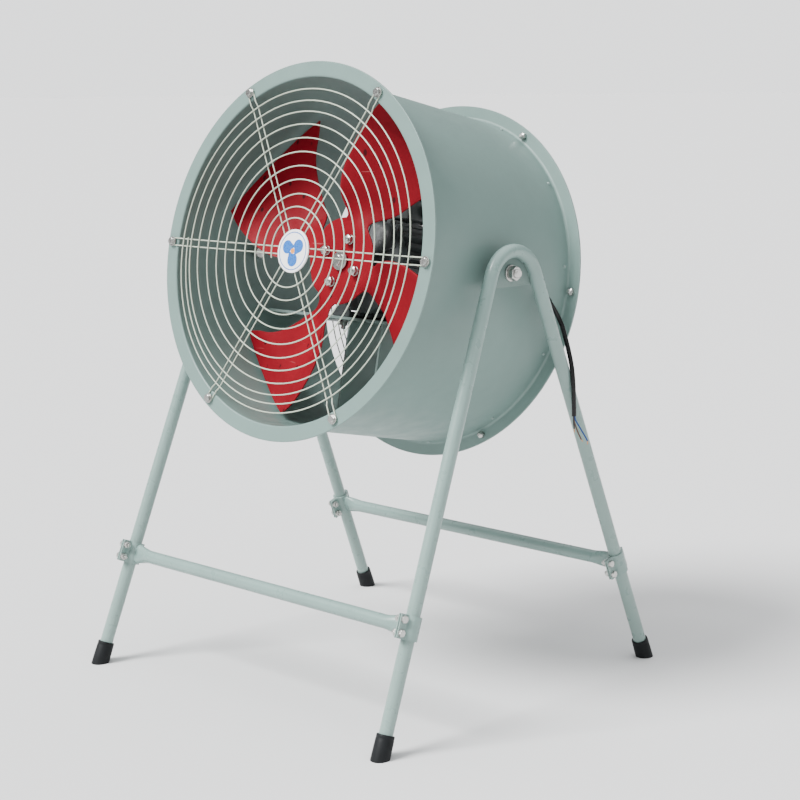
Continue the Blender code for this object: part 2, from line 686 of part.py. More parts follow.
def side_frames():
    splay = math.degrees(LEG_SPLAY)
    start = leg_point(-1, 0)
    length = (leg_point(-1, 1) - start).length
    reach = 1 - 0.006 / length
    bend = arc((0, -BEND_DROP), BEND_RADIUS, 180 - splay, splay, 12)
    route = [leg_point(-1, reach)] + [Vector((0, y, z)) for y, z in bend] + [leg_point(1, reach)]
    for name, (_, frame) in SIDES.items():
        tube = as_mesh(wire_curve(f"side_frame_{name}", route, TUBE_RADIUS, 3, frame, caps=False))
        finish(tube, "grey_green_paint")
        wall = tube.modifiers.new("wall", "SOLIDIFY")
        wall.thickness = TUBE_WALL
        wall.offset = -1
        rounded(tube, 50)


def pivot_plates():
    """Plate that fills the bend and carries the pivot bolt."""
    splay = math.degrees(LEG_SPLAY)
    reach = math.sqrt(TUBE_RADIUS ** 2 - (PLATE_INSET - 0.002) ** 2)
    inner = BEND_RADIUS - reach - GAP
    outline = arc((0, -BEND_DROP), inner, splay, 180 - splay, 10)
    foot = inner / math.cos(LEG_SPLAY)
    outline += [(-foot, -BEND_DROP), (foot, -BEND_DROP)]
    hole = arc((0, 0), 0.0066, 0, 330, 11)
    for name, (side, frame) in SIDES.items():
        plate = flat_outline(f"pivot_plate_{name}", [outline, hole], 0.004, frame)
        plate.location = (-side * PLATE_INSET, 0, 0)
        plate.rotation_euler = (math.pi / 2, 0, math.pi / 2)
        finish(plate, "grey_green_paint")


def pivot_nuts():
    face = PIVOT_X - PLATE_INSET + 0.0025
    bore = 0.0060 + GAP
    profile = [(0.0100, face + 0.0125), (0.0105, face + 0.0030), (0.0130, face + 0.0020),
               (0.0130, face), (bore, face), (bore, face + 0.0125)]
    for name, (side, _) in SIDES.items():
        nut = turned(f"pivot_nut_{name}", profile, 12)
        nut.location = (0, 0, PIVOT_HEIGHT)
        nut.rotation_euler = (0, side * math.pi / 2, 0)
        finish(nut, "zinc")


def clamp_empties():
    empties = {}
    for side_name, (_, frame) in SIDES.items():
        for end_name, end in ENDS.items():
            empties[side_name, end_name] = make_empty(
                f"clamp_{end_name}_{side_name}_seat", leg_point(end, CLAMP_FRACTION),
                (end * LEG_SPLAY, 0, 0), frame)
    return empties


def clamp_outline(side):
    """Half shell with a bolted ear and a lip, opening towards the leg's middle plane."""
    inner = TUBE_RADIUS + GAP
    outer = inner + CLAMP_THICK
    part = 0.0006
    inner_start = math.degrees(math.asin(part / inner))
    outer_start = math.degrees(math.asin((part + CLAMP_THICK) / outer))
    ring = [(CLAMP_LIP, part)] + arc((0, 0), inner, inner_start, 180 - inner_start, 8)
    ring += [(-CLAMP_EAR, part), (-CLAMP_EAR, part + CLAMP_THICK)]
    ring += arc((0, 0), outer, 180 - outer_start, outer_start, 8)
    ring.append((CLAMP_LIP, part + CLAMP_THICK))
    return [(side * v, u) for u, v in ring]


def clamp_half(name, side, empty, collection=None):
    half = flat_outline(name, [clamp_outline(side)], CLAMP_HEIGHT, empty)
    half = as_mesh(half, collection)
    for index, z in enumerate((-CLAMP_BOLT_STEP, CLAMP_BOLT_STEP)):
        hole = rod_between(f"{name}_hole_{index}", (-0.02, -CLAMP_BOLT_OFFSET, z),
                           (0.02, -CLAMP_BOLT_OFFSET, z), 0.0033, 8, empty, CUTTERS)
        combine(half, hole, "DIFFERENCE")
    return half


def clamp_caps(empties):
    for (side_name, end_name), empty in empties.items():
        side = SIDES[side_name][0]
        cap = clamp_half(f"clamp_cap_{end_name}_{side_name}", side, empty)
        finish(cap, "grey_green_paint")


def clamp_bolts(empties):
    face = 0.0006 + CLAMP_THICK + GAP
    profile = [(0.0, face + 0.0040), (0.0050, face + 0.0040), (0.0054, face), (0.0030, face),
               (0.0030, -face), (0.0054, -face), (0.0054, -face - 0.0048), (0.0028, -face - 0.0048),
               (0.0028, -face - 0.0085), (0.0, -face - 0.0085)]
    for (side_name, end_name), empty in empties.items():
        side = SIDES[side_name][0]
        for index, z in enumerate((-CLAMP_BOLT_STEP, CLAMP_BOLT_STEP)):
            bolt = turned(f"clamp_bolt_{end_name}_{side_name}_{index + 1}", profile, 6, empty)
            bolt.location = (0, -CLAMP_BOLT_OFFSET, z)
            bolt.rotation_euler = (0, side * math.pi / 2, 0)
            finish(bolt, "zinc")


def bar_ring(bm, centre, height, depth, lean):
    """Oval section across X, its tall axis leaning with the leg."""
    ring = []
    for index in range(12):
        angle = 2 * math.pi * index / 12
        v = depth * math.cos(angle)
        w = height * math.sin(angle)
        y = v * math.cos(lean) - w * math.sin(lean)
        z = v * math.sin(lean) + w * math.cos(lean)
        ring.append(bm.verts.new((centre[0], centre[1] + y, centre[2] + z)))
    return ring


def crossbar(end_name, empties):
    """Tube between the side frames whose flattened ends carry half clamps."""
    end = ENDS[end_name]
    bpy.context.view_layer.update()
    joint = empties["right", end_name].matrix_world.translation
    flare = 0.048
    bm = bmesh.new()
    rings = []
    for side in (-1, 1):
        stations = []
        for share in (0.0, 0.35, 0.7, 1.0):
            x = side * (joint.x - flare + (flare - 0.0095) * share)
            grow = smoothstep(share)
            stations.append(bar_ring(bm, (x, joint.y, joint.z), TUBE_RADIUS + 0.0052 * grow,
                                     TUBE_RADIUS - 0.0040 * grow, end * LEG_SPLAY * grow))
        rings += stations if side > 0 else reversed(stations)
    for first, second in zip(rings, rings[1:]):
        for index in range(12):
            after = (index + 1) % 12
            bm.faces.new((first[index], first[after], second[after], second[index]))
    bm.faces.new(rings[0])
    bm.faces.new(rings[-1])
    bar = mesh_object(f"crossbar_{end_name}", bm)
    finish(bar, "grey_green_paint")
    for side_name, (side, _) in SIDES.items():
        empty = empties[side_name, end_name]
        reach = Vector((0, 0, 0.03))
        leg = rod_between(f"bar_leg_{end_name}_{side_name}", -reach, reach, TUBE_RADIUS + GAP, 16,
                          empty, CUTTERS)
        combine(bar, leg, "DIFFERENCE")
        shell = clamp_half(f"bar_shell_{end_name}_{side_name}", -side, empty, CUTTERS)
        combine(bar, shell, "UNION")
    hollow = joint.x - 0.052
    bore = rod_between(f"bar_bore_{end_name}", (-hollow, joint.y, joint.z), (hollow, joint.y, joint.z),
                       TUBE_RADIUS - TUBE_WALL, 12, None, CUTTERS)
    combine(bar, bore, "DIFFERENCE")
    drain = rod_between(f"bar_drain_{end_name}", (0, joint.y, joint.z - 0.02), (0, joint.y, joint.z),
                        0.002, 8, None, CUTTERS)
    combine(bar, drain, "DIFFERENCE")


def rubber_feet():
    """Caps pushed over the leg ends, cut flat where they meet the floor."""
    floor = box("floor_cut", (-0.5, -0.5, -0.05), (0.5, 0.5, 0.0), None, CUTTERS)
    inner = TUBE_RADIUS + GAP
    profile = [(0.0, 0.006 - GAP), (inner, 0.006 - GAP), (inner, 0.034), (0.0125, 0.034),
               (0.0132, 0.032), (0.0135, -0.010), (0.0, -0.010)]
    for side_name, (_, frame) in SIDES.items():
        for end_name, end in ENDS.items():
            foot = turned(f"rubber_foot_{end_name}_{side_name}", profile, 16, frame)
            foot.location = leg_point(end, 1.0)
            foot.rotation_euler = (end * LEG_SPLAY, 0, 0)
            finish(foot, "rubber")
            combine(foot, floor, "DIFFERENCE")


# ---- cable --------------------------------------------------------------
def cable_boot():
    boot = wire_curve("cable_boot", BOOT_PATH, BOOT_RADII[0], 2, radii=BOOT_RADII)
    finish(boot, "rubber")


def power_cable():
    cable = wire_curve("power_cable", smooth_path(CORD_ROUTE, 2), CORD_RADIUS, 2)
    finish(cable, "cord_black")


def cable_cores():
    """Three stripped cores that fan out below the sheath's end."""
    end = Vector(CORD_ROUTE[-1])
    stub = rod_between("cable_cores", end - Vector((0, 0, GAP)), end - Vector((0, 0, 0.006)), 0.0030, 8)
    finish(stub, "core_blue")
    for index, tip in enumerate(CORE_ENDS):
        tip = Vector(tip)
        start = end - Vector((0, 0, 0.003))
        middle = start.lerp(tip, 0.5) + Vector((0, -0.004, -0.004))
        route = smooth_path((start, middle, tip), 3)
        core = wire_curve(f"cable_core_{index}", route, CORE_RADIUS, 0)
        combine(stub, as_mesh(core, CUTTERS), "UNION")


# ---- build --------------------------------------------------------------
def build():
    drum_casing()
    pivot_bolts()
    for name, facing in (("front", 1), ("rear", -1)):
        guard(name, facing)
        guard_bolts(name, facing)
    badge()
    motor_support()
    motor_frame()
    motor_front_shield()
    stator_core()
    terminal_box()
    motor_rotor()
    impeller()
    hub_boss()
    hub_bolts()
    shaft_screw()
    side_frames()
    pivot_plates()
    pivot_nuts()
    empties = clamp_empties()
    clamp_caps(empties)
    clamp_bolts(empties)
    for end_name in ENDS:
        crossbar(end_name, empties)
    rubber_feet()
    cable_boot()
    power_cable()
    cable_cores()


build()
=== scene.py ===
"""Looks for the portable axial drum fan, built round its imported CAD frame.

Lengths are in metres.  The fan frame has x to the right, y up and z towards
the air inlet; each side frame and each clamp has a frame of its own.
"""
import json
import math

import bmesh
import bpy
from mathutils import Matrix, Vector


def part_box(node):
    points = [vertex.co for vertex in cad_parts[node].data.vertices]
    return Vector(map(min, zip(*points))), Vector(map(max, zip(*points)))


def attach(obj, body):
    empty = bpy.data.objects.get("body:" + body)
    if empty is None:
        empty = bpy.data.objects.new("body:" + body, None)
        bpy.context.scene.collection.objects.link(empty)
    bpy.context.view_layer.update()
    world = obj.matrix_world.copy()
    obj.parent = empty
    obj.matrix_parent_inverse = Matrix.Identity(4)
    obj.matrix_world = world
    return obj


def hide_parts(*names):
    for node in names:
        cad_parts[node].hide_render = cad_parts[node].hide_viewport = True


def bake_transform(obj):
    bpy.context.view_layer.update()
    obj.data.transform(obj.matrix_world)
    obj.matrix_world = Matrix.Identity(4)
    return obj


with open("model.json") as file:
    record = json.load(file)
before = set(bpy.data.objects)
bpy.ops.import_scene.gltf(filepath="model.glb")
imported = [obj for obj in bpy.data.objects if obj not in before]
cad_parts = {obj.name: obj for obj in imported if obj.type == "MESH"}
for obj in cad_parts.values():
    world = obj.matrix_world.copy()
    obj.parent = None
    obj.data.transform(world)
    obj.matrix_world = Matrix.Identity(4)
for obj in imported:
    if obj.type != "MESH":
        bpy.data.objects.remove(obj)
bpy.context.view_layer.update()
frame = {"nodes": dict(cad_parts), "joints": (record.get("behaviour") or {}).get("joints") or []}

# ---- dimensions shared with the CAD -------------------------------------
GAP = 0.0003
DRUM_BORE = 0.256
DRUM_WALL = 0.0025
DRUM_RADIUS = DRUM_BORE + DRUM_WALL
FLANGE_THICK = 0.003
FLANGE_FILLET = 0.004
BOLT_CIRCLE = 0.268
BOLT_COUNT = 6
GUARD_WIRE = 0.0010
SPIRAL_ANGLE = 197.5            # the wire starts just past a spoke
SPIRAL_END = 178 - 360 * 10     # and ends on it, ten turns on
SPOKE_STEP = 60                 # degrees between the spokes
SPIRAL_CROSSINGS = (            # mm from the axis at each spoke the wire passes, a row to a turn
    41.1, 47.1, 49.8, 52.1, 53.1, 54.6,
    58.4, 63.4, 66.9, 70.8, 72.4, 73.5,
    76.3, 81.3, 86.7, 89.7, 92.1, 95.7,
    99.1, 103.8, 106.7, 110.0, 112.6, 117.0,
    121.0, 124.3, 126.6, 129.6, 134.2, 140.5,
    142.7, 145.6, 146.5, 148.2, 153.6, 161.1,
    162.4, 165.7, 167.1, 168.6, 172.9, 179.5,
    184.2, 187.5, 185.7, 187.9, 192.0, 198.7,
    206.3, 206.4, 204.3, 205.5, 206.9, 218.1,
    224.6, 222.8, 220.0, 219.0, 220.9, 229.5,
    232.7)
RIM_CROSSINGS = (243.9, 239.9, 237.3, 234.8, 235.0, 241.6)    # the same for the closed outer ring
SPOKE_SPACING = 0.011
BADGE_RADIUS = 0.032
BADGE_OFFSET = 0.006
HUB_Z = 0.061
HUB_RADIUS = 0.066
SHEET = 0.003
BLADE_TIP = 0.249
BLADE_COUNT = 4
HUB_BOLT_CIRCLE = 0.0355
HUB_BOLT_ANGLE = 67.0
SHAFT_RADIUS = 0.0095
SHAFT_SHOULDER = 0.024
MOTOR_RADIUS = 0.068
FIN_HEIGHT = 0.010
FIN_COUNT = 24
MOTOR_BORE = 0.0605
MOTOR_LENGTH = 0.176
SHAFT_HEIGHT = 0.080
TUBE_RADIUS = 0.010
BEND_RADIUS = 0.0513
BEND_DROP = 0.0196
PIVOT_X = 0.2866
PLATE_INSET = 0.0075
SIDE_LEAN = math.radians(2.0)
FOOT_SPREAD = 0.302
CLAMP_FRACTION = 0.7354
CLAMP_HEIGHT = 0.034
CLAMP_THICK = 0.0025
CLAMP_EAR = 0.0262
CLAMP_LIP = 0.0172
CLAMP_BOLT_OFFSET = 0.0203
CLAMP_BOLT_STEP = 0.0095

# ---- details that only the looks have -----------------------------------
RIM_SINK = 0.0003               # how deep the outer ring is welded into the spokes
SPIRAL_STEPS = 844
WIRE_SIDES = 10
WIRE_WELD = (0.0014, 0.0014, 0.0009)    # half widths of a bead where wires cross
SPOKE_FOOT = 0.0012             # how far outside the ring a spoke starts its step
SPOKE_CLIMB = 0.0093            # length of that step
PRINT_DEPTH = 0.0002            # how far the badge's print goes into its face
CORE_RADIUS = 0.00115
STRAND_RADIUS = 0.0007
FLOOR_CUT = 0.00005             # height of the rubber feet's flat undersides
GUARD_BOLT_ACROSS = 0.0100      # widths across flats
CLAMP_BOLT_ACROSS = 0.0098
M8_ACROSS = 0.0130
BOOT_RADIUS = 0.0062
BOOT_TAPER = 0.0018
BOOT_GROOVE = 0.0006
BOOT_NECK = 0.0002              # how much thinner the sleeve is in the drum's wall
CLAMP_PART = 0.0006             # half the slit between a clamp's two halves

# edges of the first blade: radius, degrees round the axis
LEADING_EDGE = ((0.050, 168.0), (0.070, 174.0), (0.090, 180.0), (0.115, 182.0), (0.140, 180.5),
                (0.165, 177.5), (0.195, 173.5), (0.225, 169.5), (BLADE_TIP, 165.5))
TRAILING_EDGE = ((0.050, 150.0), (0.070, 146.0), (0.090, 139.0), (0.115, 135.0), (0.142, 132.5),
                 (0.165, 130.5), (0.185, 128.5), (0.206, 125.5), (0.228, 121.5), (BLADE_TIP, 119.0))
BLADE_LEAD_RISE = 0.021
BLADE_PITCH_DROP = 0.052
BLADE_CAMBER = 0.006
TIP_CREASE = 0.206
TIP_BEND = 0.25

# cable: the sleeve on the drum and the free cable's own route
CORD_RADIUS = 0.0035
BOOT_PATH = ((0.2490, 0.0950, 0.5890), (0.2600, 0.0951, 0.5889), (0.2652, 0.0956, 0.5882),
             (0.2690, 0.0968, 0.5866), (0.2711, 0.0986, 0.5841), (0.2722, 0.1007, 0.5813))
CORD_ROUTE = ((0.2724, 0.1011, 0.5809), (0.2733, 0.1042, 0.5766), (0.2752, 0.1090, 0.5690),
              (0.2785, 0.1140, 0.5580), (0.2845, 0.1160, 0.5440), (0.2905, 0.1170, 0.5257),
              (0.2970, 0.1165, 0.5070), (0.3025, 0.1160, 0.4870), (0.3062, 0.1148, 0.4670),
              (0.3083, 0.1138, 0.4480), (0.3095, 0.1132, 0.4300), (0.3100, 0.1130, 0.4140))

# ---- places read from the frame -----------------------------------------
JOINTS = {joint["name"]: joint for joint in frame["joints"]}
PIVOT = Vector(JOINTS["drum_tilt"]["pos_m"])
SPIN_POINT = Vector(JOINTS["fan_spin"]["pos_m"])
SPIN_AXIS = Vector(JOINTS["fan_spin"]["axis"]).normalized()


def placed(origin, x_axis, z_axis):
    """Matrix of a frame with that origin, x axis and z axis."""
    x_axis = Vector(x_axis).normalized()
    z_axis = Vector(z_axis).normalized()
    y_axis = z_axis.cross(x_axis)
    return Matrix.Translation(origin) @ Matrix((x_axis, y_axis, z_axis)).transposed().to_4x4()


FAN = placed(SPIN_POINT, (1, 0, 0), SPIN_AXIS)
FOOT_DROP = PIVOT.z / math.cos(SIDE_LEAN)
BEND_TO_FOOT = math.hypot(FOOT_SPREAD, FOOT_DROP - BEND_DROP)
LEG_SPLAY = (math.atan2(FOOT_SPREAD, FOOT_DROP - BEND_DROP)
             - math.asin(BEND_RADIUS / BEND_TO_FOOT))
SIDES = {"right": 1, "left": -1}
ENDS = {"front": -1, "rear": 1}
SPLAY_DEGREES = math.degrees(LEG_SPLAY)


def shift(x, y, z):
    return Matrix.Translation((x, y, z))


def turn(degrees, axis="Z"):
    return Matrix.Rotation(math.radians(degrees), 4, axis)


UPRIGHT = turn(-90, "X")
SIDE_FRAME = {name: shift(side * PIVOT_X, 0, PIVOT.z) @ Matrix.Rotation(-side * SIDE_LEAN, 4, "Y")
              for name, side in SIDES.items()}


def node_box(node, matrix):
    """Lowest and highest corner of a CAD node in a frame of its own."""
    inverse = matrix.inverted()
    points = [inverse @ vertex.co for vertex in frame["nodes"][node].data.vertices]
    return (Vector(min(p[i] for p in points) for i in range(3)),
            Vector(max(p[i] for p in points) for i in range(3)))


FLANGE_RADIUS = node_box("drum_casing", FAN)[1].x
HALF_LENGTH = node_box("drum_casing", FAN)[1].z
SPOKE_Z = HALF_LENGTH + GAP + GUARD_WIRE - 0.0023
RING_Z = SPOKE_Z + 2 * GUARD_WIRE + GAP


# ---- shapes: each is a list of vertices and a list of faces ---------------
def polar(radius, degrees, z=0.0):
    angle = math.radians(degrees)
    return Vector((radius * math.cos(angle), radius * math.sin(angle), z))


def smoothstep(value):
    value = min(1.0, max(0.0, value))
    return value * value * (3 - 2 * value)


def arc(centre, radius, start, end, count):
    points = []
    for step in range(count + 1):
        point = polar(radius, start + (end - start) * step / count)
        points.append((centre[0] + point.x, centre[1] + point.y))
    return points


def loft(rings, closed=False):
    """Quads between rings of equal count, capped unless the last ring joins the first."""
    count = len(rings[0])
    vertices = [Vector(point) for ring in rings for point in ring]
    faces = []
    for i in range(len(rings) if closed else len(rings) - 1):
        a = i * count
        b = (i + 1) % len(rings) * count
        for j in range(count):
            k = (j + 1) % count
            faces.append((a + j, a + k, b + k, b + j))
    if not closed:
        faces.append(tuple(range(count)))
        faces.append(tuple(range((len(rings) - 1) * count, len(rings) * count)))
    return vertices, faces


def circle(radius, z, steps, across=0.0):
    """Points round z, trimmed to a hexagon of that width across its flats."""
    points = []
    for step in range(steps):
        angle = 2 * math.pi * step / steps
        reach = radius
        if across:
            reach = min(radius, across / 2 / math.cos(angle % (math.pi / 3) - math.pi / 6))
        points.append(Vector((reach * math.cos(angle), reach * math.sin(angle), z)))
    return points


def turned(profile, steps, closed=False):
    """Turn a profile of (r, z) or (r, z, across) stations about z."""
    return loft([circle(station[0], station[1], steps, *station[2:]) for station in profile], closed)


def hexagon(across, low, high):
    """Stations down a hexagon whose corners are chamfered at both ends."""
    corner = across / math.sqrt(3)
    chamfer = (corner - 0.47 * across) * math.tan(math.radians(30))
    down = [(0.47 * across, high, across), ((0.47 * across + corner) / 2, high - chamfer / 2, across),
            (corner, high - chamfer, across)]
    return down + [(r, low + high - z, flat) for r, z, flat in reversed(down)]


def thread(radius, high, low, pitch):
    """Stations down a threaded end with a chamfered tip."""
    stations = [(radius - pitch * 0.6, high)]
    turns = int((high - low) / pitch)
    for index in range(turns):
        z = high - pitch * (index + 0.5)
        stations += [(radius, z), (radius - 0.55 * pitch, z - pitch / 2)]
    return stations


def washer(radius, low, high):
    soft = 0.15 * (high - low)
    return [(radius - soft, high), (radius, high - soft), (radius, low + soft), (radius - soft, low)]


def sweep(points, radius, sides, closed=False, up=(0, 0, 1), radii=None):
    """Round tube along the points, without twist."""
    points = [Vector(point) for point in points]
    count = len(points)
    rings = []
    normal = Vector(up)
    for i, point in enumerate(points):
        before = points[(i - 1) % count] if closed or i else point
        after = points[(i + 1) % count] if closed or i < count - 1 else point
        along = (after - before).normalized()
        normal = (normal - normal.dot(along) * along).normalized()
        across = along.cross(normal)
        reach = radii[i] if radii else radius
        rings.append([point + reach * (p.x * normal + p.y * across) for p in circle(1, 0, sides)])
    return loft(rings, closed)


def catmull(a, b, c, d, t):
    """Place between b and c on the Catmull-Rom curve through four values or points."""
    return 0.5 * (2 * b + (c - a) * t + (2 * a - 5 * b + 4 * c - d) * t ** 2
                  + (3 * b - a - 3 * c + d) * t ** 3)


def smooth_path(points, per_span):
    """Smooth curve through given points."""
    knots = [Vector(p) for p in points]
    knots = [2 * knots[0] - knots[1]] + knots + [2 * knots[-1] - knots[-2]]
    path = []
    for i in range(1, len(knots) - 2):
        path += [catmull(*knots[i - 1:i + 3], step / per_span) for step in range(per_span)]
    path.append(knots[-2])
    return path


def table_reader(table):
    """Smooth function through a rising (x, y) table."""
    path = smooth_path([(x, y / 1000, 0) for x, y in table], 12)

    def read(value):
        for first, second in zip(path, path[1:]):
            if value <= second.x:
                share = (value - first.x) / max(1e-9, second.x - first.x)
                return 1000 * (first.y + (second.y - first.y) * share)
        return 1000 * path[-1].y
    return read


def prism(outline, low, high, soft):
    """Upright prism on an outline (x, y), its rims chamfered by soft."""
    middle = Vector((sum(p[0] for p in outline), sum(p[1] for p in outline))) / len(outline)

    def ring(z, inset):
        points = []
        for index, point in enumerate(outline):
            before = Vector(outline[index - 1])
            after = Vector(outline[(index + 1) % len(outline)])
            side = (after - before).normalized()
            inward = Vector((-side.y, side.x))
            if inward.dot(middle - Vector(point)) < 0:
                inward = -inward
            points.append((point[0] + inward.x * inset, point[1] + inward.y * inset, z))
        return points
    return loft([ring(high, soft), ring(high - soft, 0), ring(low + soft, 0), ring(low, soft)])


def rounded_box(low, high, radius, steps=4):
    """Box with rounded upright edges and chamfered rims."""
    outline = []
    for index, (x, y) in enumerate(((high[0], high[1]), (low[0], high[1]), (low[0], low[1]),
                                    (high[0], low[1]))):
        centre = (x - radius if x == high[0] else x + radius, y - radius if y == high[1] else y + radius)
        outline += arc(centre, radius, 90 * index, 90 * index + 90, steps)
    return prism(outline, low[2], high[2], radius * 0.4)


def ball(centre, size):
    """Small flattened bead, such as a weld; size is its half widths."""
    bm = bmesh.new()
    bmesh.ops.create_icosphere(bm, subdivisions=1, radius=1.0)
    vertices = [Vector(centre) + Vector(c * s for c, s in zip(v.co, size)) for v in bm.verts]
    faces = [tuple(v.index for v in face.verts) for face in bm.faces]
    bm.free()
    return vertices, faces


def levels(base, table):
    """Stations from a table in mm: radius, height over the base."""
    return [(radius / 1000, base + height / 1000) for radius, height in table]


def steps_from(start, table):
    """Points from a table of steps in mm."""
    return [start + Vector(step) / 1000 for step in table]


def moved(shape, matrix):
    return [matrix @ vertex for vertex in shape[0]], shape[1]


def merged(shapes):
    vertices = []
    faces = []
    for more_vertices, more_faces in shapes:
        start = len(vertices)
        vertices += more_vertices
        faces += [tuple(index + start for index in face) for face in more_faces]
    return vertices, faces


# ---- materials ----------------------------------------------------------
def add_node(tree, kind, inputs, **settings):
    """New shader node; each input gets a value, or a link from another node's output."""
    node = tree.nodes.new("ShaderNode" + kind)
    for key, value in settings.items():
        setattr(node, key, value)
    for key, value in inputs.items():
        if isinstance(value, bpy.types.NodeSocket):
            tree.links.new(value, node.inputs[key])
        else:
            node.inputs[key].default_value = value
    return node


def new_material(name):
    material = bpy.data.materials.new(name)
    material.use_nodes = True
    return material, material.node_tree, material.node_tree.nodes["Principled BSDF"]


def object_place(tree):
    return add_node(tree, "TexCoord", {}).outputs["Object"]


def noise(tree, place, scale, detail=3.0, stretch=None):
    if stretch:
        place = add_node(tree, "Mapping", {"Vector": place, "Scale": stretch}).outputs["Vector"]
    inputs = {"Vector": place, "Scale": scale, "Detail": detail}
    return add_node(tree, "TexNoise", inputs).outputs["Fac"]


def ramp(tree, factor, low, high, first, second):
    node = add_node(tree, "ValToRGB", {"Fac": factor})
    for element, position, colour in zip(node.color_ramp.elements, (low, high), (first, second)):
        element.position = position
        element.color = (*colour, 1)
    return node.outputs["Color"]


def mix(tree, factor, first, second):
    inputs = {"Factor": factor, "A": first, "B": (*second, 1)}
    return add_node(tree, "Mix", inputs, data_type="RGBA").outputs["Result"]


def grey(value):
    return (value, value, value)


def scaled(colour, factor):
    return tuple(min(1.0, channel * factor) for channel in colour)


def surface(name, colour, roughness, metallic=0.0, patch=60, spread=0.10, grain=900, bump=0.05,
            rough_spread=0.08, wear=None, coat=0.0, stretch=None, specular=0.5):
    """Procedural surface: broad colour patches, fine grain in bump and gloss, worn edges."""
    material, tree, shader = new_material(name)
    for socket, value in (("Metallic", metallic), ("Specular IOR Level", specular),
                          ("Coat Weight", coat), ("Coat Roughness", 0.25)):
        shader.inputs[socket].default_value = value
    place = object_place(tree)
    paint = ramp(tree, noise(tree, place, patch), 0.3, 0.7, scaled(colour, 1 - spread),
                 scaled(colour, 1 + spread))
    if wear:
        edge = add_node(tree, "NewGeometry", {}).outputs["Pointiness"]
        paint = mix(tree, ramp(tree, edge, 0.52, 0.60, grey(0.0), grey(0.55)), paint, wear)
    tree.links.new(paint, shader.inputs["Base Color"])
    gloss = ramp(tree, noise(tree, place, patch * 7, 4.0, stretch), 0.3, 0.7,
                 grey(max(0.05, roughness - rough_spread)), grey(roughness + rough_spread))
    tree.links.new(gloss, shader.inputs["Roughness"])
    inputs = {"Strength": bump, "Distance": 0.001, "Height": noise(tree, place, grain, 2.0, stretch)}
    tree.links.new(add_node(tree, "Bump", inputs).outputs["Normal"], shader.inputs["Normal"])
    return material


def shader_parts(material):
    """Tree, colour output and shader of a finished surface, for adding marks to it."""
    tree = material.node_tree
    shader = tree.nodes["Principled BSDF"]
    return tree, shader.inputs["Base Color"].links[0].from_socket, shader


def spot_and_scratch_marks(material, scratch_colour, spot_colour):
    """Adds small dark spots and faint long scratches to a painted surface."""
    tree, paint, shader = shader_parts(material)
    place = object_place(tree)
    inputs = {"Vector": place, "Rotation": (0.5, 0.3, 0.0), "Scale": (1.0, 1.0, 0.55)}
    slant = add_node(tree, "Mapping", inputs).outputs["Vector"]
    cells = add_node(tree, "TexVoronoi", {"Vector": slant, "Scale": 44.0}).outputs["Distance"]
    paint = mix(tree, ramp(tree, cells, 0.105, 0.145, grey(0.85), grey(0.0)), paint, spot_colour)
    streaks = noise(tree, place, 9.0, 2.0, (1.0, 0.4, 22.0))
    paint = mix(tree, ramp(tree, streaks, 0.735, 0.760, grey(0.0), grey(0.45)), paint, scratch_colour)
    tree.links.new(paint, shader.inputs["Base Color"])


def paint_shade_in_bore(material, shade):
    """Darkens the enamel in the drum's bore as painted shade, most towards the top, and stops at the rolled
    lips.
    """
    tree, paint, shader = shader_parts(material)
    inputs = {"Vector": object_place(tree), "Location": FAN.translation, "Rotation": FAN.to_euler()}
    to_fan = add_node(tree, "Mapping", inputs, vector_type="TEXTURE").outputs["Vector"]
    split = add_node(tree, "SeparateXYZ", {"Vector": to_fan}).outputs
    flat = add_node(tree, "CombineXYZ", {"X": split["X"], "Y": split["Y"]}).outputs["Vector"]
    reach = add_node(tree, "VectorMath", {0: flat}, operation="LENGTH").outputs["Value"]
    inside = ramp(tree, reach, DRUM_BORE + 0.0003, DRUM_BORE + 0.0020, grey(1.0), grey(0.0))
    inputs = {"Value": split["Y"], "From Min": -0.5 * DRUM_BORE, "From Max": 0.75 * DRUM_BORE,
              "To Max": 0.85}
    height = add_node(tree, "MapRange", inputs).outputs["Result"]
    amount = add_node(tree, "Math", {0: inside, 1: height}, operation="MULTIPLY").outputs["Value"]
    tree.links.new(mix(tree, amount, paint, shade), shader.inputs["Base Color"])
    gloss = shader.inputs["Roughness"].links[0].from_socket
    tree.links.new(mix(tree, amount, gloss, grey(0.95)), shader.inputs["Roughness"])


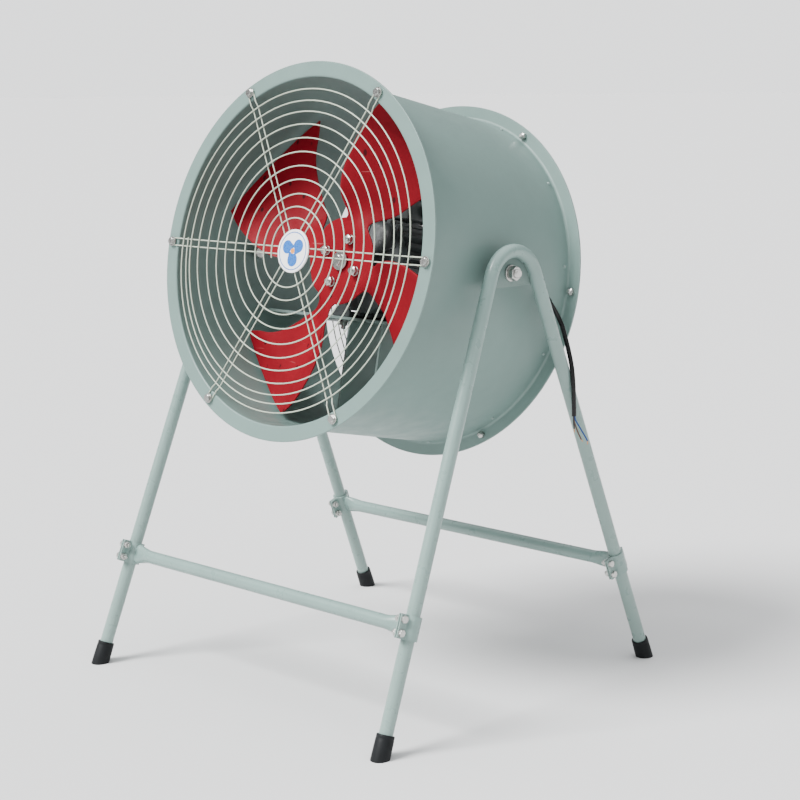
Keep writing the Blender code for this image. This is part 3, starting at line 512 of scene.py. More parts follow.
ENAMEL = {"colour": (0.148, 0.226, 0.206), "roughness": 0.46, "patch": 5, "spread": 0.05, "grain": 700,
          "wear": (0.24, 0.31, 0.29)}
MATERIALS = {
    "drum_paint": surface("drum_enamel", **ENAMEL),
    "stand_paint": surface("stand_enamel", (0.192, 0.286, 0.263), 0.32, patch=9, spread=0.06, grain=600,
                           bump=0.08, wear=(0.28, 0.36, 0.33), coat=0.15),
    "guard_paint": surface("guard_enamel", (0.42, 0.47, 0.38), 0.35, patch=14, spread=0.05),
    "impeller_red": surface("impeller_enamel", (0.205, 0.005, 0.012), 0.58, patch=10, spread=0.12,
                            grain=500, bump=0.08, wear=(0.26, 0.03, 0.03), specular=0.08),
    "zinc_fastener": surface("zinc_plate", (0.50, 0.50, 0.48), 0.30, 1.0, patch=90, grain=1500,
                             rough_spread=0.06),
    "badge_white": surface("badge_face", (0.95, 0.95, 0.95), 0.30, patch=30, spread=0.02, bump=0.02,
                           specular=0.3),
    "motor_casting": surface("motor_casting", (0.050, 0.058, 0.060), 0.45, patch=25, spread=0.15,
                             bump=0.12, wear=(0.10, 0.11, 0.11), specular=0.4),
    "machined_steel": surface("machined_steel", (0.34, 0.34, 0.33), 0.34, 1.0, spread=0.12, bump=0.08,
                              stretch=(1, 8, 8)),
    "lamination_steel": surface("laminations", (0.12, 0.12, 0.13), 0.50, 0.8, spread=0.15, bump=0.2,
                                stretch=(1, 12, 1)),
    "black_rubber": surface("black_rubber", (0.006, 0.007, 0.008), 0.55, patch=40, spread=0.25,
                            grain=700, bump=0.15, specular=0.2),
    "cable_sheath": surface("cable_sheath", (0.003, 0.003, 0.0035), 0.30, patch=50, spread=0.25,
                            bump=0.06, specular=0.3),
    "core_insulation": surface("core_blue", (0.008, 0.045, 0.20), 0.40, bump=0.04, specular=0.3),
}
spot_and_scratch_marks(MATERIALS["impeller_red"], (0.45, 0.14, 0.14), (0.030, 0.004, 0.006))
CASING_PAINT = surface("casing_enamel", **ENAMEL)
# Painted shade inside the drum's bore, darker towards the top.
paint_shade_in_bore(CASING_PAINT, (0.024, 0.030, 0.028))
# Pivot plates: the drum's enamel, painted darker still as shade on the recessed plates.
SHADED_PLATE_PAINT = surface("plate_enamel_painted_shade", (0.108, 0.166, 0.152), 0.50, patch=30, spread=0.08, grain=600,
                      bump=0.08, wear=(0.20, 0.26, 0.24), specular=0.3)
CORE_BROWN = surface("core_brown", (0.070, 0.022, 0.010), 0.40, spread=0.08, bump=0.04)
CORE_BLACK = surface("core_black", (0.012, 0.012, 0.012), 0.40, spread=0.08, bump=0.04)
COPPER = surface("copper_strands", (0.55, 0.26, 0.13), 0.30, 1.0, patch=90, spread=0.15, bump=0.2)
PRINT_BLUE = surface("print_blue", (0.02, 0.14, 0.48), 0.30, spread=0.04, bump=0.02)
PRINT_ORANGE = surface("print_orange", (0.80, 0.30, 0.06), 0.30, spread=0.04, bump=0.02)


# ---- pieces -------------------------------------------------------------
def mesh_of(name, shape):
    mesh = bpy.data.meshes.new(name)
    mesh.from_pydata([tuple(v) for v in shape[0]], [], shape[1])
    bm = bmesh.new()
    bm.from_mesh(mesh)
    return mesh, bm


def shape_of(bm):
    """Vertices and faces of an edited mesh, which is then freed."""
    bm.verts.index_update()
    shape = [v.co.copy() for v in bm.verts], [tuple(v.index for v in face.verts) for face in bm.faces]
    bm.free()
    return shape


def piece(name, shape, body, slot, replaces=(), matrix=None, material=None, sharp=35.0, weighted=False):
    """One named piece of the object, in place, riding on its body."""
    mesh, bm = mesh_of(name, moved(shape, matrix) if matrix else shape)
    bmesh.ops.recalc_face_normals(bm, faces=bm.faces)
    bm.to_mesh(mesh)
    bm.free()
    mesh.shade_smooth()
    mesh.set_sharp_from_angle(angle=math.radians(sharp))
    mesh.materials.append(material or MATERIALS[slot])
    obj = bpy.data.objects.new(name, mesh)
    bpy.context.scene.collection.objects.link(obj)
    if weighted:
        obj.modifiers.new("flat_faces", "WEIGHTED_NORMAL").keep_sharp = True
    if body:
        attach(obj, body)
    if replaces:
        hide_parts(*replaces)
    return obj


def fastener(name, stations, body, replaces=(), matrix=None, steps=48, closed=False):
    """Turned zinc part, such as a bolt with its nut and washers."""
    piece(name, turned(stations, steps, closed), body, "zinc_fastener", replaces, matrix, sharp=25)


def drum_casing():
    top = HALF_LENGTH
    edge = 0.0008
    lip = 0.0025
    hold = 0.0004
    half = arc((DRUM_BORE + lip, top - lip), lip, 180, 90, 6)
    half = [(DRUM_BORE, top - lip - 0.02)] + half
    half += [(DRUM_BORE + lip + hold, top), (FLANGE_RADIUS - edge - hold, top)]
    half += arc((FLANGE_RADIUS - edge, top - edge), edge, 90, 0, 3)
    half += arc((FLANGE_RADIUS - edge, top - FLANGE_THICK + edge), edge, 0, -90, 3)
    half += [(DRUM_RADIUS + FLANGE_FILLET + hold, top - FLANGE_THICK)]
    below = top - FLANGE_THICK - FLANGE_FILLET
    half += arc((DRUM_RADIUS + FLANGE_FILLET, below), FLANGE_FILLET, 90, 180, 6)
    half += [(DRUM_RADIUS, below - 0.02)]
    profile = half + [(r, -z) for r, z in reversed(half)]
    piece("casing", turned(profile, 192, closed=True), "drum", "drum_paint", ["drum_casing"], FAN,
          CASING_PAINT, weighted=True)


def casing_welds():
    """Spot welds that tack the rolled sheet to each flange, and the sheet's seam."""
    beads = []
    for facing in (1, -1):
        for index in range(12):
            place = polar(DRUM_RADIUS + 0.0001, 30 * index + 8, facing * (HALF_LENGTH - 0.014))
            beads.append(ball(place, (0.0030, 0.0030, 0.0030)))
    seam = []
    for step in range(60):
        z = (HALF_LENGTH - 0.010) * (2 * step / 59 - 1)
        seam.append(polar(DRUM_RADIUS - 0.0009 + 0.0001 * (step % 2), 262, z))
    beads.append(sweep(seam, 0.0022, 10, up=(0, -1, 0)))
    piece("casing_welds", merged(beads), "drum", "drum_paint", matrix=FAN)


def eased(values, place):
    """Smooth value at a fractional place along a row of numbers."""
    index = min(max(int(place), 0), len(values) - 2)
    before = values[max(index - 1, 0)]
    after = values[min(index + 2, len(values) - 1)]
    return catmull(before, values[index], values[index + 1], after, place - index)


def spiral_radius(angle):
    """Distance from the axis of the spiral wire; its angle runs on below zero turn after turn."""
    return eased(SPIRAL_CROSSINGS, (180 - angle) / SPOKE_STEP) / 1000


def rim_radius(angle):
    """Distance from the axis of the closed outer ring."""
    ring = RIM_CROSSINGS[-1:] + RIM_CROSSINGS + RIM_CROSSINGS[:2]
    return eased(ring, 1 + (180 - angle) % 360 / SPOKE_STEP) / 1000


def wire_welds(radius_at, spokes, z):
    """A bead where a round wire crosses each of the two wires of every spoke it passes."""
    beads = []
    for spoke in spokes:
        for side in (-1, 1):
            angle = spoke + side * math.degrees(math.asin(SPOKE_SPACING / 2 / radius_at(spoke)))
            beads.append(ball(polar(radius_at(angle), angle, z), WIRE_WELD))
    return beads


def guard(name, facing):
    """Spiral wire, and the three spoke loops with the closed ring; all are welded where they cross."""
    span = SPIRAL_ANGLE - SPIRAL_END
    angles = [SPIRAL_ANGLE - span * index / SPIRAL_STEPS for index in range(SPIRAL_STEPS + 1)]
    path = [polar(spiral_radius(angle), angle, facing * RING_Z) for angle in angles]
    shapes = [sweep(path, GUARD_WIRE, WIRE_SIDES)]
    rim_z = facing * (SPOKE_Z + 2 * GUARD_WIRE - RIM_SINK)
    rim = [polar(rim_radius(angle), angle, rim_z) for angle in range(0, 360, 3)]
    weld_z = facing * (RING_Z - GUARD_WIRE)
    spokes = [180 - SPOKE_STEP * crossing for crossing in range(len(SPIRAL_CROSSINGS) - 1)]
    shapes += wire_welds(spiral_radius, spokes, weld_z)
    piece(f"{name}_spiral", merged(shapes), "drum", "guard_paint", [f"{name}_guard_spiral"], FAN)
    loops = [sweep(spoke_loop(angle, facing, level), GUARD_WIRE, WIRE_SIDES, closed=True)
             for level, angle in enumerate((0, 60, 120))]
    loops.append(sweep(rim, GUARD_WIRE, WIRE_SIDES, closed=True))
    loops += wire_welds(rim_radius, range(0, 360, SPOKE_STEP), weld_z)
    piece(f"{name}_spokes", merged(loops), "drum", "guard_paint", [f"{name}_guard_spokes"], FAN)


def spoke_end(angle, plane, seat):
    """One end of a spoke loop along X: up the step outside the ring and round the bolt."""
    half = SPOKE_SPACING / 2
    foot = rim_radius(angle) + SPOKE_FOOT
    climb = [(foot + SPOKE_CLIMB * step / 8, half, plane + (seat - plane) * smoothstep(step / 8))
             for step in range(9)]
    bend = [(u, v, seat) for u, v in arc((BOLT_CIRCLE, 0), half, 90, -90, 14)]
    return climb + bend + [(u, -v, z) for u, v, z in reversed(climb)]


def spoke_loop(angle, facing, level):
    """A long wire loop across the guard, looped round two opposite bolts."""
    plane = facing * (SPOKE_Z - level * GAP)
    seat = facing * (HALF_LENGTH + GAP + GUARD_WIRE)
    far = spoke_end(angle + 180, plane, seat)
    loop = spoke_end(angle, plane, seat) + [(-u, -v, z) for u, v, z in far]
    return [turn(angle) @ Vector(point) for point in loop]


def guard_bolts(name, facing):
    seat = HALF_LENGTH + 2 * GAP + 2 * GUARD_WIRE
    back = HALF_LENGTH - FLANGE_THICK - GAP
    stations = hexagon(GUARD_BOLT_ACROSS, seat + 0.0012, seat + 0.0050)
    stations += washer(0.0075, seat, seat + 0.0012)
    stations += [(0.0029, seat), (0.0029, back)] + hexagon(GUARD_BOLT_ACROSS, back - 0.0050, back)
    end = thread(0.0029, back - 0.0050, back - 0.0088, 0.0010)
    stations += [(r, 2 * back - 0.0140 - z) for r, z in reversed(end)]
    for index in range(BOLT_COUNT):
        place = shift(BOLT_CIRCLE, 0, 0) @ Matrix.Rotation(0.7 * index, 4, "Z")
        if facing < 0:
            place = place @ turn(180, "X")
        node = f"{name}_guard_bolt_{index + 1}"
        fastener(f"{node}_fine", stations, "drum", [node], FAN @ turn(60 * index) @ place)


def badge():
    """White disc with a plain ring and a three-bladed rotor sign."""
    back = SPOKE_Z + GUARD_WIRE + GAP
    front = back + 0.0026
    profile = [(0.002, front), (BADGE_RADIUS - 0.002, front)]
    profile += arc((BADGE_RADIUS - 0.0010, front - 0.0010), 0.0010, 90, 0, 4)
    profile += [(BADGE_RADIUS, back + 0.0004), (BADGE_RADIUS - 0.0004, back), (0.002, back)]
    seat = FAN @ shift(BADGE_OFFSET, 0, 0)
    piece("badge", turned(profile, 96), "drum", "badge_white", ["badge_disc"], seat, weighted=True)
    ink = front + 0.00008
    sunk = front - PRINT_DEPTH
    ring = [(0.0282, ink), (0.0282, sunk), (0.0268, sunk), (0.0268, ink)]
    piece("badge_ring", turned(ring, 96, closed=True), "drum", "badge_white", matrix=seat,
          material=PRINT_BLUE)
    leaf = arc((0.0125, 0.0035), 0.0100, -75, 165, 16) + arc((0.0095, -0.0030), 0.0072, 140, 215, 6)
    for index in range(3):
        piece(f"badge_leaf_{index + 1}", prism(leaf, sunk, ink, 0.00004), "drum", "badge_white",
              matrix=seat @ turn(120 * index + 20), material=PRINT_BLUE)
    dot = [(0.0038, ink + 0.00006), (0.0040, ink), (0.0040, sunk)]
    piece("badge_centre", turned(dot, 32), "drum", "badge_white", matrix=seat, material=PRINT_ORANGE)


# ---- motor and its seat -------------------------------------------------
def motor_support():
    low, high = node_box("motor_support", FAN)
    plate_low = high.y - 0.005
    soft = 0.0008
    shapes = [moved(prism([(low.x, low.z), (high.x, low.z), (high.x, high.z), (low.x, high.z)],
                          plate_low, high.y, soft), UPRIGHT @ Matrix.Scale(-1, 4, (0, 1, 0)))]
    for x in (-0.035, 0.035):
        foot = -math.sqrt(DRUM_BORE ** 2 - (abs(x) + 0.002) ** 2) + 0.0008
        web = [(x - 0.002, foot), (x + 0.002, foot), (x + 0.002, plate_low), (x - 0.002, plate_low)]
        shapes.append(prism(web, low.z + 0.002, high.z - 0.002, 0.0004))
        for side in (-1, 1):
            line = [(x + side * 0.0024, foot + 0.0012, low.z + 0.004 + 0.006 * step)
                    for step in range(22)]
            shapes.append(sweep(line, 0.0018, 8, up=(0, 1, 0)))
    piece("motor_seat", merged(shapes), "drum", "drum_paint", ["motor_support"], FAN, weighted=True)


def fin_ring(z, height):
    """Outline of the ribbed motor housing at one level."""
    points = []
    steps = 12
    for index in range(FIN_COUNT * steps):
        share = index % steps / steps
        rise = smoothstep((0.30 - abs(share - 0.5)) / 0.14)
        points.append(polar(MOTOR_RADIUS + height * rise, 360 * (index / steps - 0.5) / FIN_COUNT, z))
    return points


def motor_frame():
    front = SHAFT_SHOULDER - 0.034
    back = SHAFT_SHOULDER - MOTOR_LENGTH
    soft = 0.0015
    body = loft([fin_ring(front, FIN_HEIGHT - soft), fin_ring(front - soft, FIN_HEIGHT),
                 fin_ring(back + 0.012, FIN_HEIGHT), fin_ring(back + 0.010, 0.5 * FIN_HEIGHT),
                 fin_ring(back + 0.009, 0.0)])
    cover = turned([(MOTOR_RADIUS + 0.004, back + 0.012), (MOTOR_RADIUS + 0.004, back + 0.006),
                    (MOTOR_RADIUS + 0.001, back + 0.003), (0.050, back + 0.003), (0.046, back + 0.0055),
                    (0.026, back + 0.0055), (0.023, back + 0.0005), (0.020, back)], 96)
    shapes = [body, cover]
    for index in range(6):
        rib = prism([(0.021, -0.002), (0.066, -0.0015), (0.066, 0.0015), (0.021, 0.002)], back + 0.001,
                    back + 0.006, 0.0004)
        shapes.append(moved(rib, turn(60 * index)))
    for side in (-1, 1):
        low_x, high_x = sorted((side * 0.040, side * 0.078))
        low = (low_x, -SHAFT_HEIGHT, SHAFT_SHOULDER - 0.166)
        high = (high_x, -0.0705, SHAFT_SHOULDER - 0.036)
        shapes.append(rounded_box(low, high, 0.003))
        for z in (SHAFT_SHOULDER - 0.040, SHAFT_SHOULDER - 0.160):
            gusset = [(side * 0.042, -0.072), (side * 0.076, -0.072), (side * 0.050, -0.046)]
            shapes.append(prism(gusset, z - 0.003, z + 0.003, 0.0006))
    piece("motor_housing", merged(shapes), "drum", "motor_casting", ["motor_frame"], FAN, sharp=30)


def motor_bolts():
    """Four bolts through the motor's feet, and the end cover's screws."""
    foot_top = -0.0705
    stations = hexagon(M8_ACROSS, foot_top + 0.0016, foot_top + 0.0070)
    stations += washer(0.0085, foot_top, foot_top + 0.0016)
    under = -SHAFT_HEIGHT - 0.0056
    stations += [(0.0038, foot_top), (0.0038, under)] + washer(0.0085, under - 0.0016, under)
    stations += hexagon(M8_ACROSS, under - 0.0080, under - 0.0016)
    stations += [(0.0038, under - 0.0080), (0.0038, under - 0.0130), (0.0032, under - 0.0138)]
    places = [(x, back) for back in (0.050, 0.150) for x in (-0.0625, 0.0625)]
    for number, (x, back) in enumerate(places, 1):
        fastener(f"motor_foot_bolt_{number}", stations, "drum",
                 matrix=FAN @ shift(x, 0, SHAFT_SHOULDER - back) @ UPRIGHT)
    back = SHAFT_SHOULDER - MOTOR_LENGTH + 0.003
    screw = turned(hexagon(0.0080, -0.0002, 0.0042), 48)
    heads = []
    for index in range(4):
        heads.append(moved(screw, shift(*polar(0.058, 45 + 90 * index, back)) @ turn(180, "X")))
    piece("motor_cover_screws", merged(heads), "drum", "zinc_fastener", matrix=FAN, sharp=25)


def motor_front_shield():
    back = SHAFT_SHOULDER - 0.034 + GAP
    front = SHAFT_SHOULDER
    profile = levels(front, ((12.8, -14), (12.8, -0.6), (13.4, 0), (25, 0), (26, -0.8), (27.5, -4),
                             (30, -5.5), (50, -12), (64, -16.5), (69, -19.5), (71.5, -24), (72, -26)))
    profile += [(0.0720, back), (MOTOR_BORE, back)] + levels(front, ((56, -26), (24, -14)))
    shapes = [turned(profile, 96, closed=True)]
    for index in range(6):
        rib = []
        for radius, half, low, high in ((0.027, 3, 0.006, 0.002), (0.066, 1.2, 0.024, 0.0155)):
            corners = ((-half, low), (half, low), (half, high), (-half, high))
            rib.append([polar(radius, angle, front - drop) for angle, drop in corners])
        shapes.append(moved(loft(rib), turn(60 * index + 30)))
    piece("motor_shield", merged(shapes), "drum", "motor_casting", ["motor_front_shield"], FAN, sharp=30)


def terminal_box():
    seat = MOTOR_RADIUS + FIN_HEIGHT + 0.0005
    body = rounded_box((-0.040, 0.030, seat), (0.040, 0.104, seat + 0.033), 0.005)
    lid = rounded_box((-0.043, 0.027, seat + 0.0335), (0.043, 0.107, seat + 0.040), 0.006)
    neck = turned([(0.0225, 0.0005), (0.0225, -0.006)], 48)
    neck = moved(neck, shift(0, 0.067, seat))
    shapes = [moved(shape, UPRIGHT) for shape in (body, lid, neck)]
    entry = hexagon(0.019, 0, 0.006) + [(0.0078, 0), (0.0078, -0.004)]
    shapes.append(moved(turned([(0.0062, 0.015), (0.0078, 0.013), (0.0082, 0.0062)] + entry, 48),
                        shift(0.0410, seat + 0.016, -0.067) @ turn(90, "Y")))
    piece("terminal_housing", merged(shapes), "drum", "motor_casting", ["terminal_box"], FAN, sharp=30)
    screw = [(0.0030, 0.0420 - 0.0012), (0.0034, 0.0420 - 0.0016), (0.0034, 0.0395)]
    heads = []
    for x in (-0.0365, 0.0365):
        for z in (0.0335, 0.1005):
            heads.append(moved(turned(screw, 24), UPRIGHT @ shift(x, z, seat)))
    piece("terminal_screws", merged(heads), "drum", "zinc_fastener", matrix=FAN)


def inner_lead():
    """Fixed lead from the connection box, along the drum's wall, to the sleeve."""
    exit_point = FAN.inverted() @ Vector(BOOT_PATH[0])
    route = steps_from(Vector(), ((54, 94.5, -67), (70, 94.5, -67), (105, 93.5, -69), (145, 89, -73),
                                  (183, 77, -79), (209, 59, -84), (224, 38, -90), (232.5, 16, -95)))
    route += [(0.2378, -0.004, exit_point.z), (0.2425, -0.0135, exit_point.z), exit_point]
    tube = sweep(smooth_path(route, 6), CORD_RADIUS, 16)
    piece("inner_lead", tube, "drum", "cable_sheath", matrix=FAN)


# ---- rotor --------------------------------------------------------------
ROOT_FLARE = 7.0                # degrees that each blade edge flares at the disc
ROOT_REACH = 0.0045
SHEET_LEVEL = HUB_Z - SHEET / 2
LEAD_AT = table_reader(LEADING_EDGE)
TRAIL_AT = table_reader(TRAILING_EDGE)


def blade_edges(radius):
    """Angles of a blade's leading and trailing edge."""
    reach = max(radius, HUB_RADIUS)
    flare = ROOT_FLARE * math.exp(-(reach - HUB_RADIUS) / ROOT_REACH)
    return LEAD_AT(reach) + flare, TRAIL_AT(reach) - flare


def blade_lift(radius, chord):
    """Height of the pressed blade over the disc's plane, chord 0 at the leading edge."""
    twist = smoothstep((radius - 0.055) / 0.055)
    belly = math.sin(math.pi * chord)
    lift = twist * (BLADE_LEAD_RISE - BLADE_PITCH_DROP * chord - BLADE_CAMBER * belly)
    return lift - max(0.0, radius - TIP_CREASE) * TIP_BEND * belly


def blade_point(radius, chord, blade):
    lead, trail = blade_edges(radius)
    return polar(radius, lead + (trail - lead) * chord - 90 * blade,
                 SHEET_LEVEL + blade_lift(radius, chord))


def impeller():
    """One pressed sheet: a round disc whose rim runs out into four wide blades."""
    blade_steps = 22
    gap_steps = 26
    bm = bmesh.new()
    disc_rows = [SHAFT_RADIUS + 0.0008, 0.018, 0.028, 0.038, 0.047, 0.053, 0.057, 0.060, 0.063,
                 HUB_RADIUS]
    blade_rows = [HUB_RADIUS + (BLADE_TIP - HUB_RADIUS) * step / 52 for step in range(53)]
    full = []
    for radius in disc_rows:
        ring = []
        for blade in range(BLADE_COUNT):
            lead, trail = blade_edges(radius)
            ring += [blade_point(radius, step / blade_steps, blade) for step in range(blade_steps)]
            for step in range(gap_steps):
                share = step / gap_steps
                angle = trail + (lead - 90 - trail) * share
                away = math.radians(min(trail - angle, angle - lead + 90)) * radius
                edge = 1.0 if share < 0.5 else 0.0
                fade = 1 - smoothstep(away / 0.010)
                ring.append(polar(radius, angle - 90 * blade,
                                  SHEET_LEVEL + blade_lift(radius, edge) * fade))
        full.append([bm.verts.new(point) for point in ring])
    count = len(full[0])
    for inner, outer in zip(full, full[1:]):
        for index in range(count):
            after = (index + 1) % count
            bm.faces.new((inner[index], outer[index], outer[after], inner[after]))
    for blade in range(BLADE_COUNT):
        start = blade * (blade_steps + gap_steps)
        inner = [full[-1][(start + step) % count] for step in range(blade_steps + 1)]
        for radius in blade_rows[1:]:
            outer = [bm.verts.new(blade_point(radius, step / blade_steps, blade))
                     for step in range(blade_steps + 1)]
            for step in range(blade_steps):
                bm.faces.new((inner[step], outer[step], outer[step + 1], inner[step + 1]))
            inner = outer
    wheel = piece("impeller_wheel", shape_of(bm), "rotor", "impeller_red", ["impeller"], FAN, sharp=60)
    sheet = wheel.modifiers.new("sheet", "SOLIDIFY")
    sheet.thickness = 0.0024
    sheet.offset = 0
    soft = wheel.modifiers.new("soft_rim", "BEVEL")
    soft.width = 0.0008
    soft.segments = 2
    soft.limit_method = "ANGLE"
    soft.angle_limit = math.radians(60)


def hub_boss():
    face = HUB_Z - SHEET - GAP
    bore = SHAFT_RADIUS + GAP
    soft = 0.0008
    profile = [(bore, face), (0.046 - soft, face), (0.046, face - soft), (0.046, face - 0.008 + soft),
               (0.046 - soft, face - 0.008), (0.026, face - 0.0095), (0.0235, face - 0.012),
               (0.022, SHAFT_SHOULDER + 0.006), (0.021, SHAFT_SHOULDER + 0.005),
               (bore, SHAFT_SHOULDER + 0.005)]
    piece("hub_casting", turned(profile, 96, closed=True), "rotor", "machined_steel", ["hub_boss"], FAN)


def hub_bolts():
    """Bolts from behind, with a spring washer and nut on the disc's face."""
    face = HUB_Z + GAP
    back = HUB_Z - SHEET - 2 * GAP - 0.010
    stations = thread(0.0039, face + 0.0122, face + 0.0078, 0.00125)
    stations += hexagon(M8_ACROSS, face + 0.0026, face + 0.0078)
    stations += washer(0.0068, face + 0.0014, face + 0.0025) + washer(0.0074, face, face + 0.0013)
    stations += [(0.0040, face), (0.0040, back)] + hexagon(M8_ACROSS, back - 0.0053, back)
    for index in range(4):
        place = shift(*polar(HUB_BOLT_CIRCLE, HUB_BOLT_ANGLE + 90 * index))
        node = f"hub_bolt_{index + 1}"
        fastener(f"{node}_fine", stations, "rotor", [node],
                 FAN @ place @ Matrix.Rotation(0.5 + 0.9 * index, 4, "Z"))


def shaft_screw():
    face = HUB_Z + 0.0015 + GAP
    stations = hexagon(0.0165, face + 0.0038, face + 0.0094)
    stations += washer(0.0100, face + 0.0024, face + 0.0037) + washer(0.0145, face, face + 0.0023)
    fastener("shaft_screw_fine", stations, "rotor", ["shaft_screw"], FAN)


# ---- stand --------------------------------------------------------------
def leg_point(end, fraction):
    """Point on a straight leg, in its side frame: 0 at the bend, 1 at the foot."""
    start = polar(BEND_RADIUS, SPLAY_DEGREES)
    y = start.x + (FOOT_SPREAD - start.x) * fraction
    z = start.y - BEND_DROP
    z += (-FOOT_DROP - z) * fraction
    return Vector((0, end * y, z))


def side_frames():
    start = leg_point(-1, 0)
    reach = 1 - 0.006 / (leg_point(-1, 1) - start).length
    bend = [Vector((0, y, z)) for y, z in arc((0, -BEND_DROP), BEND_RADIUS, 180 - SPLAY_DEGREES,
                                              SPLAY_DEGREES, 40)]
    straight = [0.04, 0.02, 0.01]
    route = [leg_point(-1, reach)] + [leg_point(-1, s) for s in straight] + bend
    route += [leg_point(1, s) for s in reversed(straight)] + [leg_point(1, reach)]
    for name in SIDES:
        piece(f"side_tube_{name}", sweep(route, TUBE_RADIUS, 40, up=(1, 0, 0)), "stand", "stand_paint",
              [f"side_frame_{name}"], SIDE_FRAME[name])


def pivot_plates():
    """Plate that fills the bend, with a bead of weld where it meets the tube."""
    face = PLATE_INSET - 0.002
    inner = BEND_RADIUS - math.sqrt(TUBE_RADIUS ** 2 - face ** 2) - GAP
    outline = arc((0, -BEND_DROP), inner, SPLAY_DEGREES, 180 - SPLAY_DEGREES, 40)
    foot = inner / math.cos(LEG_SPLAY)
    outline += [(-foot, -BEND_DROP), (foot, -BEND_DROP)]
    stand_up = turn(90) @ turn(90, "X")
    tacks = ((SPLAY_DEGREES + 2, SPLAY_DEGREES + 26), (154 - SPLAY_DEGREES, 178 - SPLAY_DEGREES), (78, 102))
    for name, side in SIDES.items():
        middle = -side * PLATE_INSET
        shapes = [prism(outline, middle - 0.002, middle + 0.002, 0.0005)]
        for start, end in tacks:
            bead = []
            for step, (y, z) in enumerate(arc((0, -BEND_DROP), inner + 0.0004, start, end, 24)):
                bead.append((y, z, middle + side * 0.0022 + 0.0002 * (step % 3)))
            shapes.append(sweep(bead, 0.0014, 8))
        # The plates take the darker enamel, which holds painted shade.
        piece(f"side_plate_{name}", moved(merged(shapes), stand_up), "stand", "stand_paint",
              [f"pivot_plate_{name}"], SIDE_FRAME[name], SHADED_PLATE_PAINT)


def pivot_fasteners():
    """Shouldered bolt on the drum and the locking nut on the stand, each side."""
    plate = PIVOT_X - PLATE_INSET
    bolt = thread(0.0060, plate + 0.0194, plate + 0.0030, 0.00175)
    bolt += [(0.0057, plate + 0.0022), (0.0057, plate - 0.0028)]
    bolt += washer(0.0150, DRUM_RADIUS + 0.0006, plate - 0.0028)
    bolt += [(0.0058, DRUM_RADIUS + 0.0006), (0.0058, 0.2530)]
    bolt += hexagon(0.0180, 0.2455, 0.2528)
    face = plate + 0.0025
    bore = 0.0060 + GAP
    nut = [(bore, face + 0.0123)] + hexagon(0.0190, face + 0.0028, face + 0.0123)
    nut += washer(0.0120, face, face + 0.0024) + [(bore, face)]
    for name, side in SIDES.items():
        aside = shift(*PIVOT) @ turn(side * 90, "Y")
        fastener(f"pivot_bolt_{name}_fine", bolt, "drum", [f"pivot_bolt_{name}"], aside, 60)
        fastener(f"pivot_nut_{name}_fine", nut, "stand", [f"pivot_nut_{name}"], aside, 60, closed=True)


def leg_frame(side_name, end_name, fraction):
    """Frame at that fraction of a leg, its z running up the leg."""
    end = ENDS[end_name]
    return (SIDE_FRAME[side_name] @ shift(*leg_point(end, fraction))
            @ Matrix.Rotation(end * LEG_SPLAY, 4, "X"))


def clamp_frame(side_name, end_name):
    return leg_frame(side_name, end_name, CLAMP_FRACTION)


def clamp_half(side):
    """Half shell with a bolted ear and a lip, opening towards the leg's middle plane."""
    inner = TUBE_RADIUS + GAP
    outer = inner + CLAMP_THICK
    part = CLAMP_PART
    soft = 0.0022
    inner_start = math.degrees(math.asin(part / inner))
    outer_start = math.degrees(math.asin((part + CLAMP_THICK + soft) / outer)) - 2
    tip = CLAMP_EAR - CLAMP_THICK / 2
    lip = CLAMP_LIP - CLAMP_THICK / 2
    ring = arc((lip, part + CLAMP_THICK / 2), CLAMP_THICK / 2, 90, -90, 6)
    ring += arc((0, 0), inner, inner_start, 180 - inner_start, 24)
    ring += arc((-tip, part + CLAMP_THICK / 2), CLAMP_THICK / 2, 270, 90, 6)
    blend = outer * math.cos(math.radians(outer_start)) + soft
    ring += [(-blend, part + CLAMP_THICK), (-blend + 0.4 * soft, part + CLAMP_THICK + 0.15 * soft)]
    ring += arc((0, 0), outer, 180 - outer_start, outer_start, 24)
    ring += [(blend - 0.4 * soft, part + CLAMP_THICK + 0.15 * soft), (blend, part + CLAMP_THICK)]
    ring = [(side * v, u) for u, v in ring]
    edge = 0.0005
    half = CLAMP_HEIGHT / 2
    rings = []
    inset = 1 - edge / CLAMP_EAR
    for z, shrink in ((half, inset), (half - edge, 1), (-half + edge, 1), (-half, inset)):
        rings.append([Vector((x, y * shrink, z)) for x, y in ring])
    return loft(rings)


def clamps():
    face = CLAMP_PART + CLAMP_THICK + GAP
    head = hexagon(CLAMP_BOLT_ACROSS, face + 0.0008, face + 0.0040) + washer(0.0054, face, face + 0.0008)
    tail = [(r, -z) for r, z in reversed(washer(0.0054, face, face + 0.0006))]
    nut = hexagon(CLAMP_BOLT_ACROSS, -face - 0.0048, -face - 0.0006)
    end_thread = [(0.0028, -face - 0.0048), (0.0028, -face - 0.0080), (0.0023, -face - 0.0085)]
    bolt = head + [(0.0030, face), (0.0030, -face)] + tail + nut + end_thread
    for side_name, side in SIDES.items():
        for end_name in ENDS:
            seat = clamp_frame(side_name, end_name)
            where = f"{end_name}_{side_name}"
            piece(f"clamp_saddle_{where}", clamp_half(side), "stand", "stand_paint",
                  [f"clamp_cap_{where}"], seat, sharp=30)
            for number, z in enumerate((-CLAMP_BOLT_STEP, CLAMP_BOLT_STEP), 1):
                place = (shift(0, -CLAMP_BOLT_OFFSET, z) @ turn(side * 90, "Y")
                         @ Matrix.Rotation(0.8 * number + side, 4, "Z"))
                node = f"clamp_bolt_{where}_{number}"
                fastener(f"{node}_fine", bolt, "stand", [node], seat @ place)


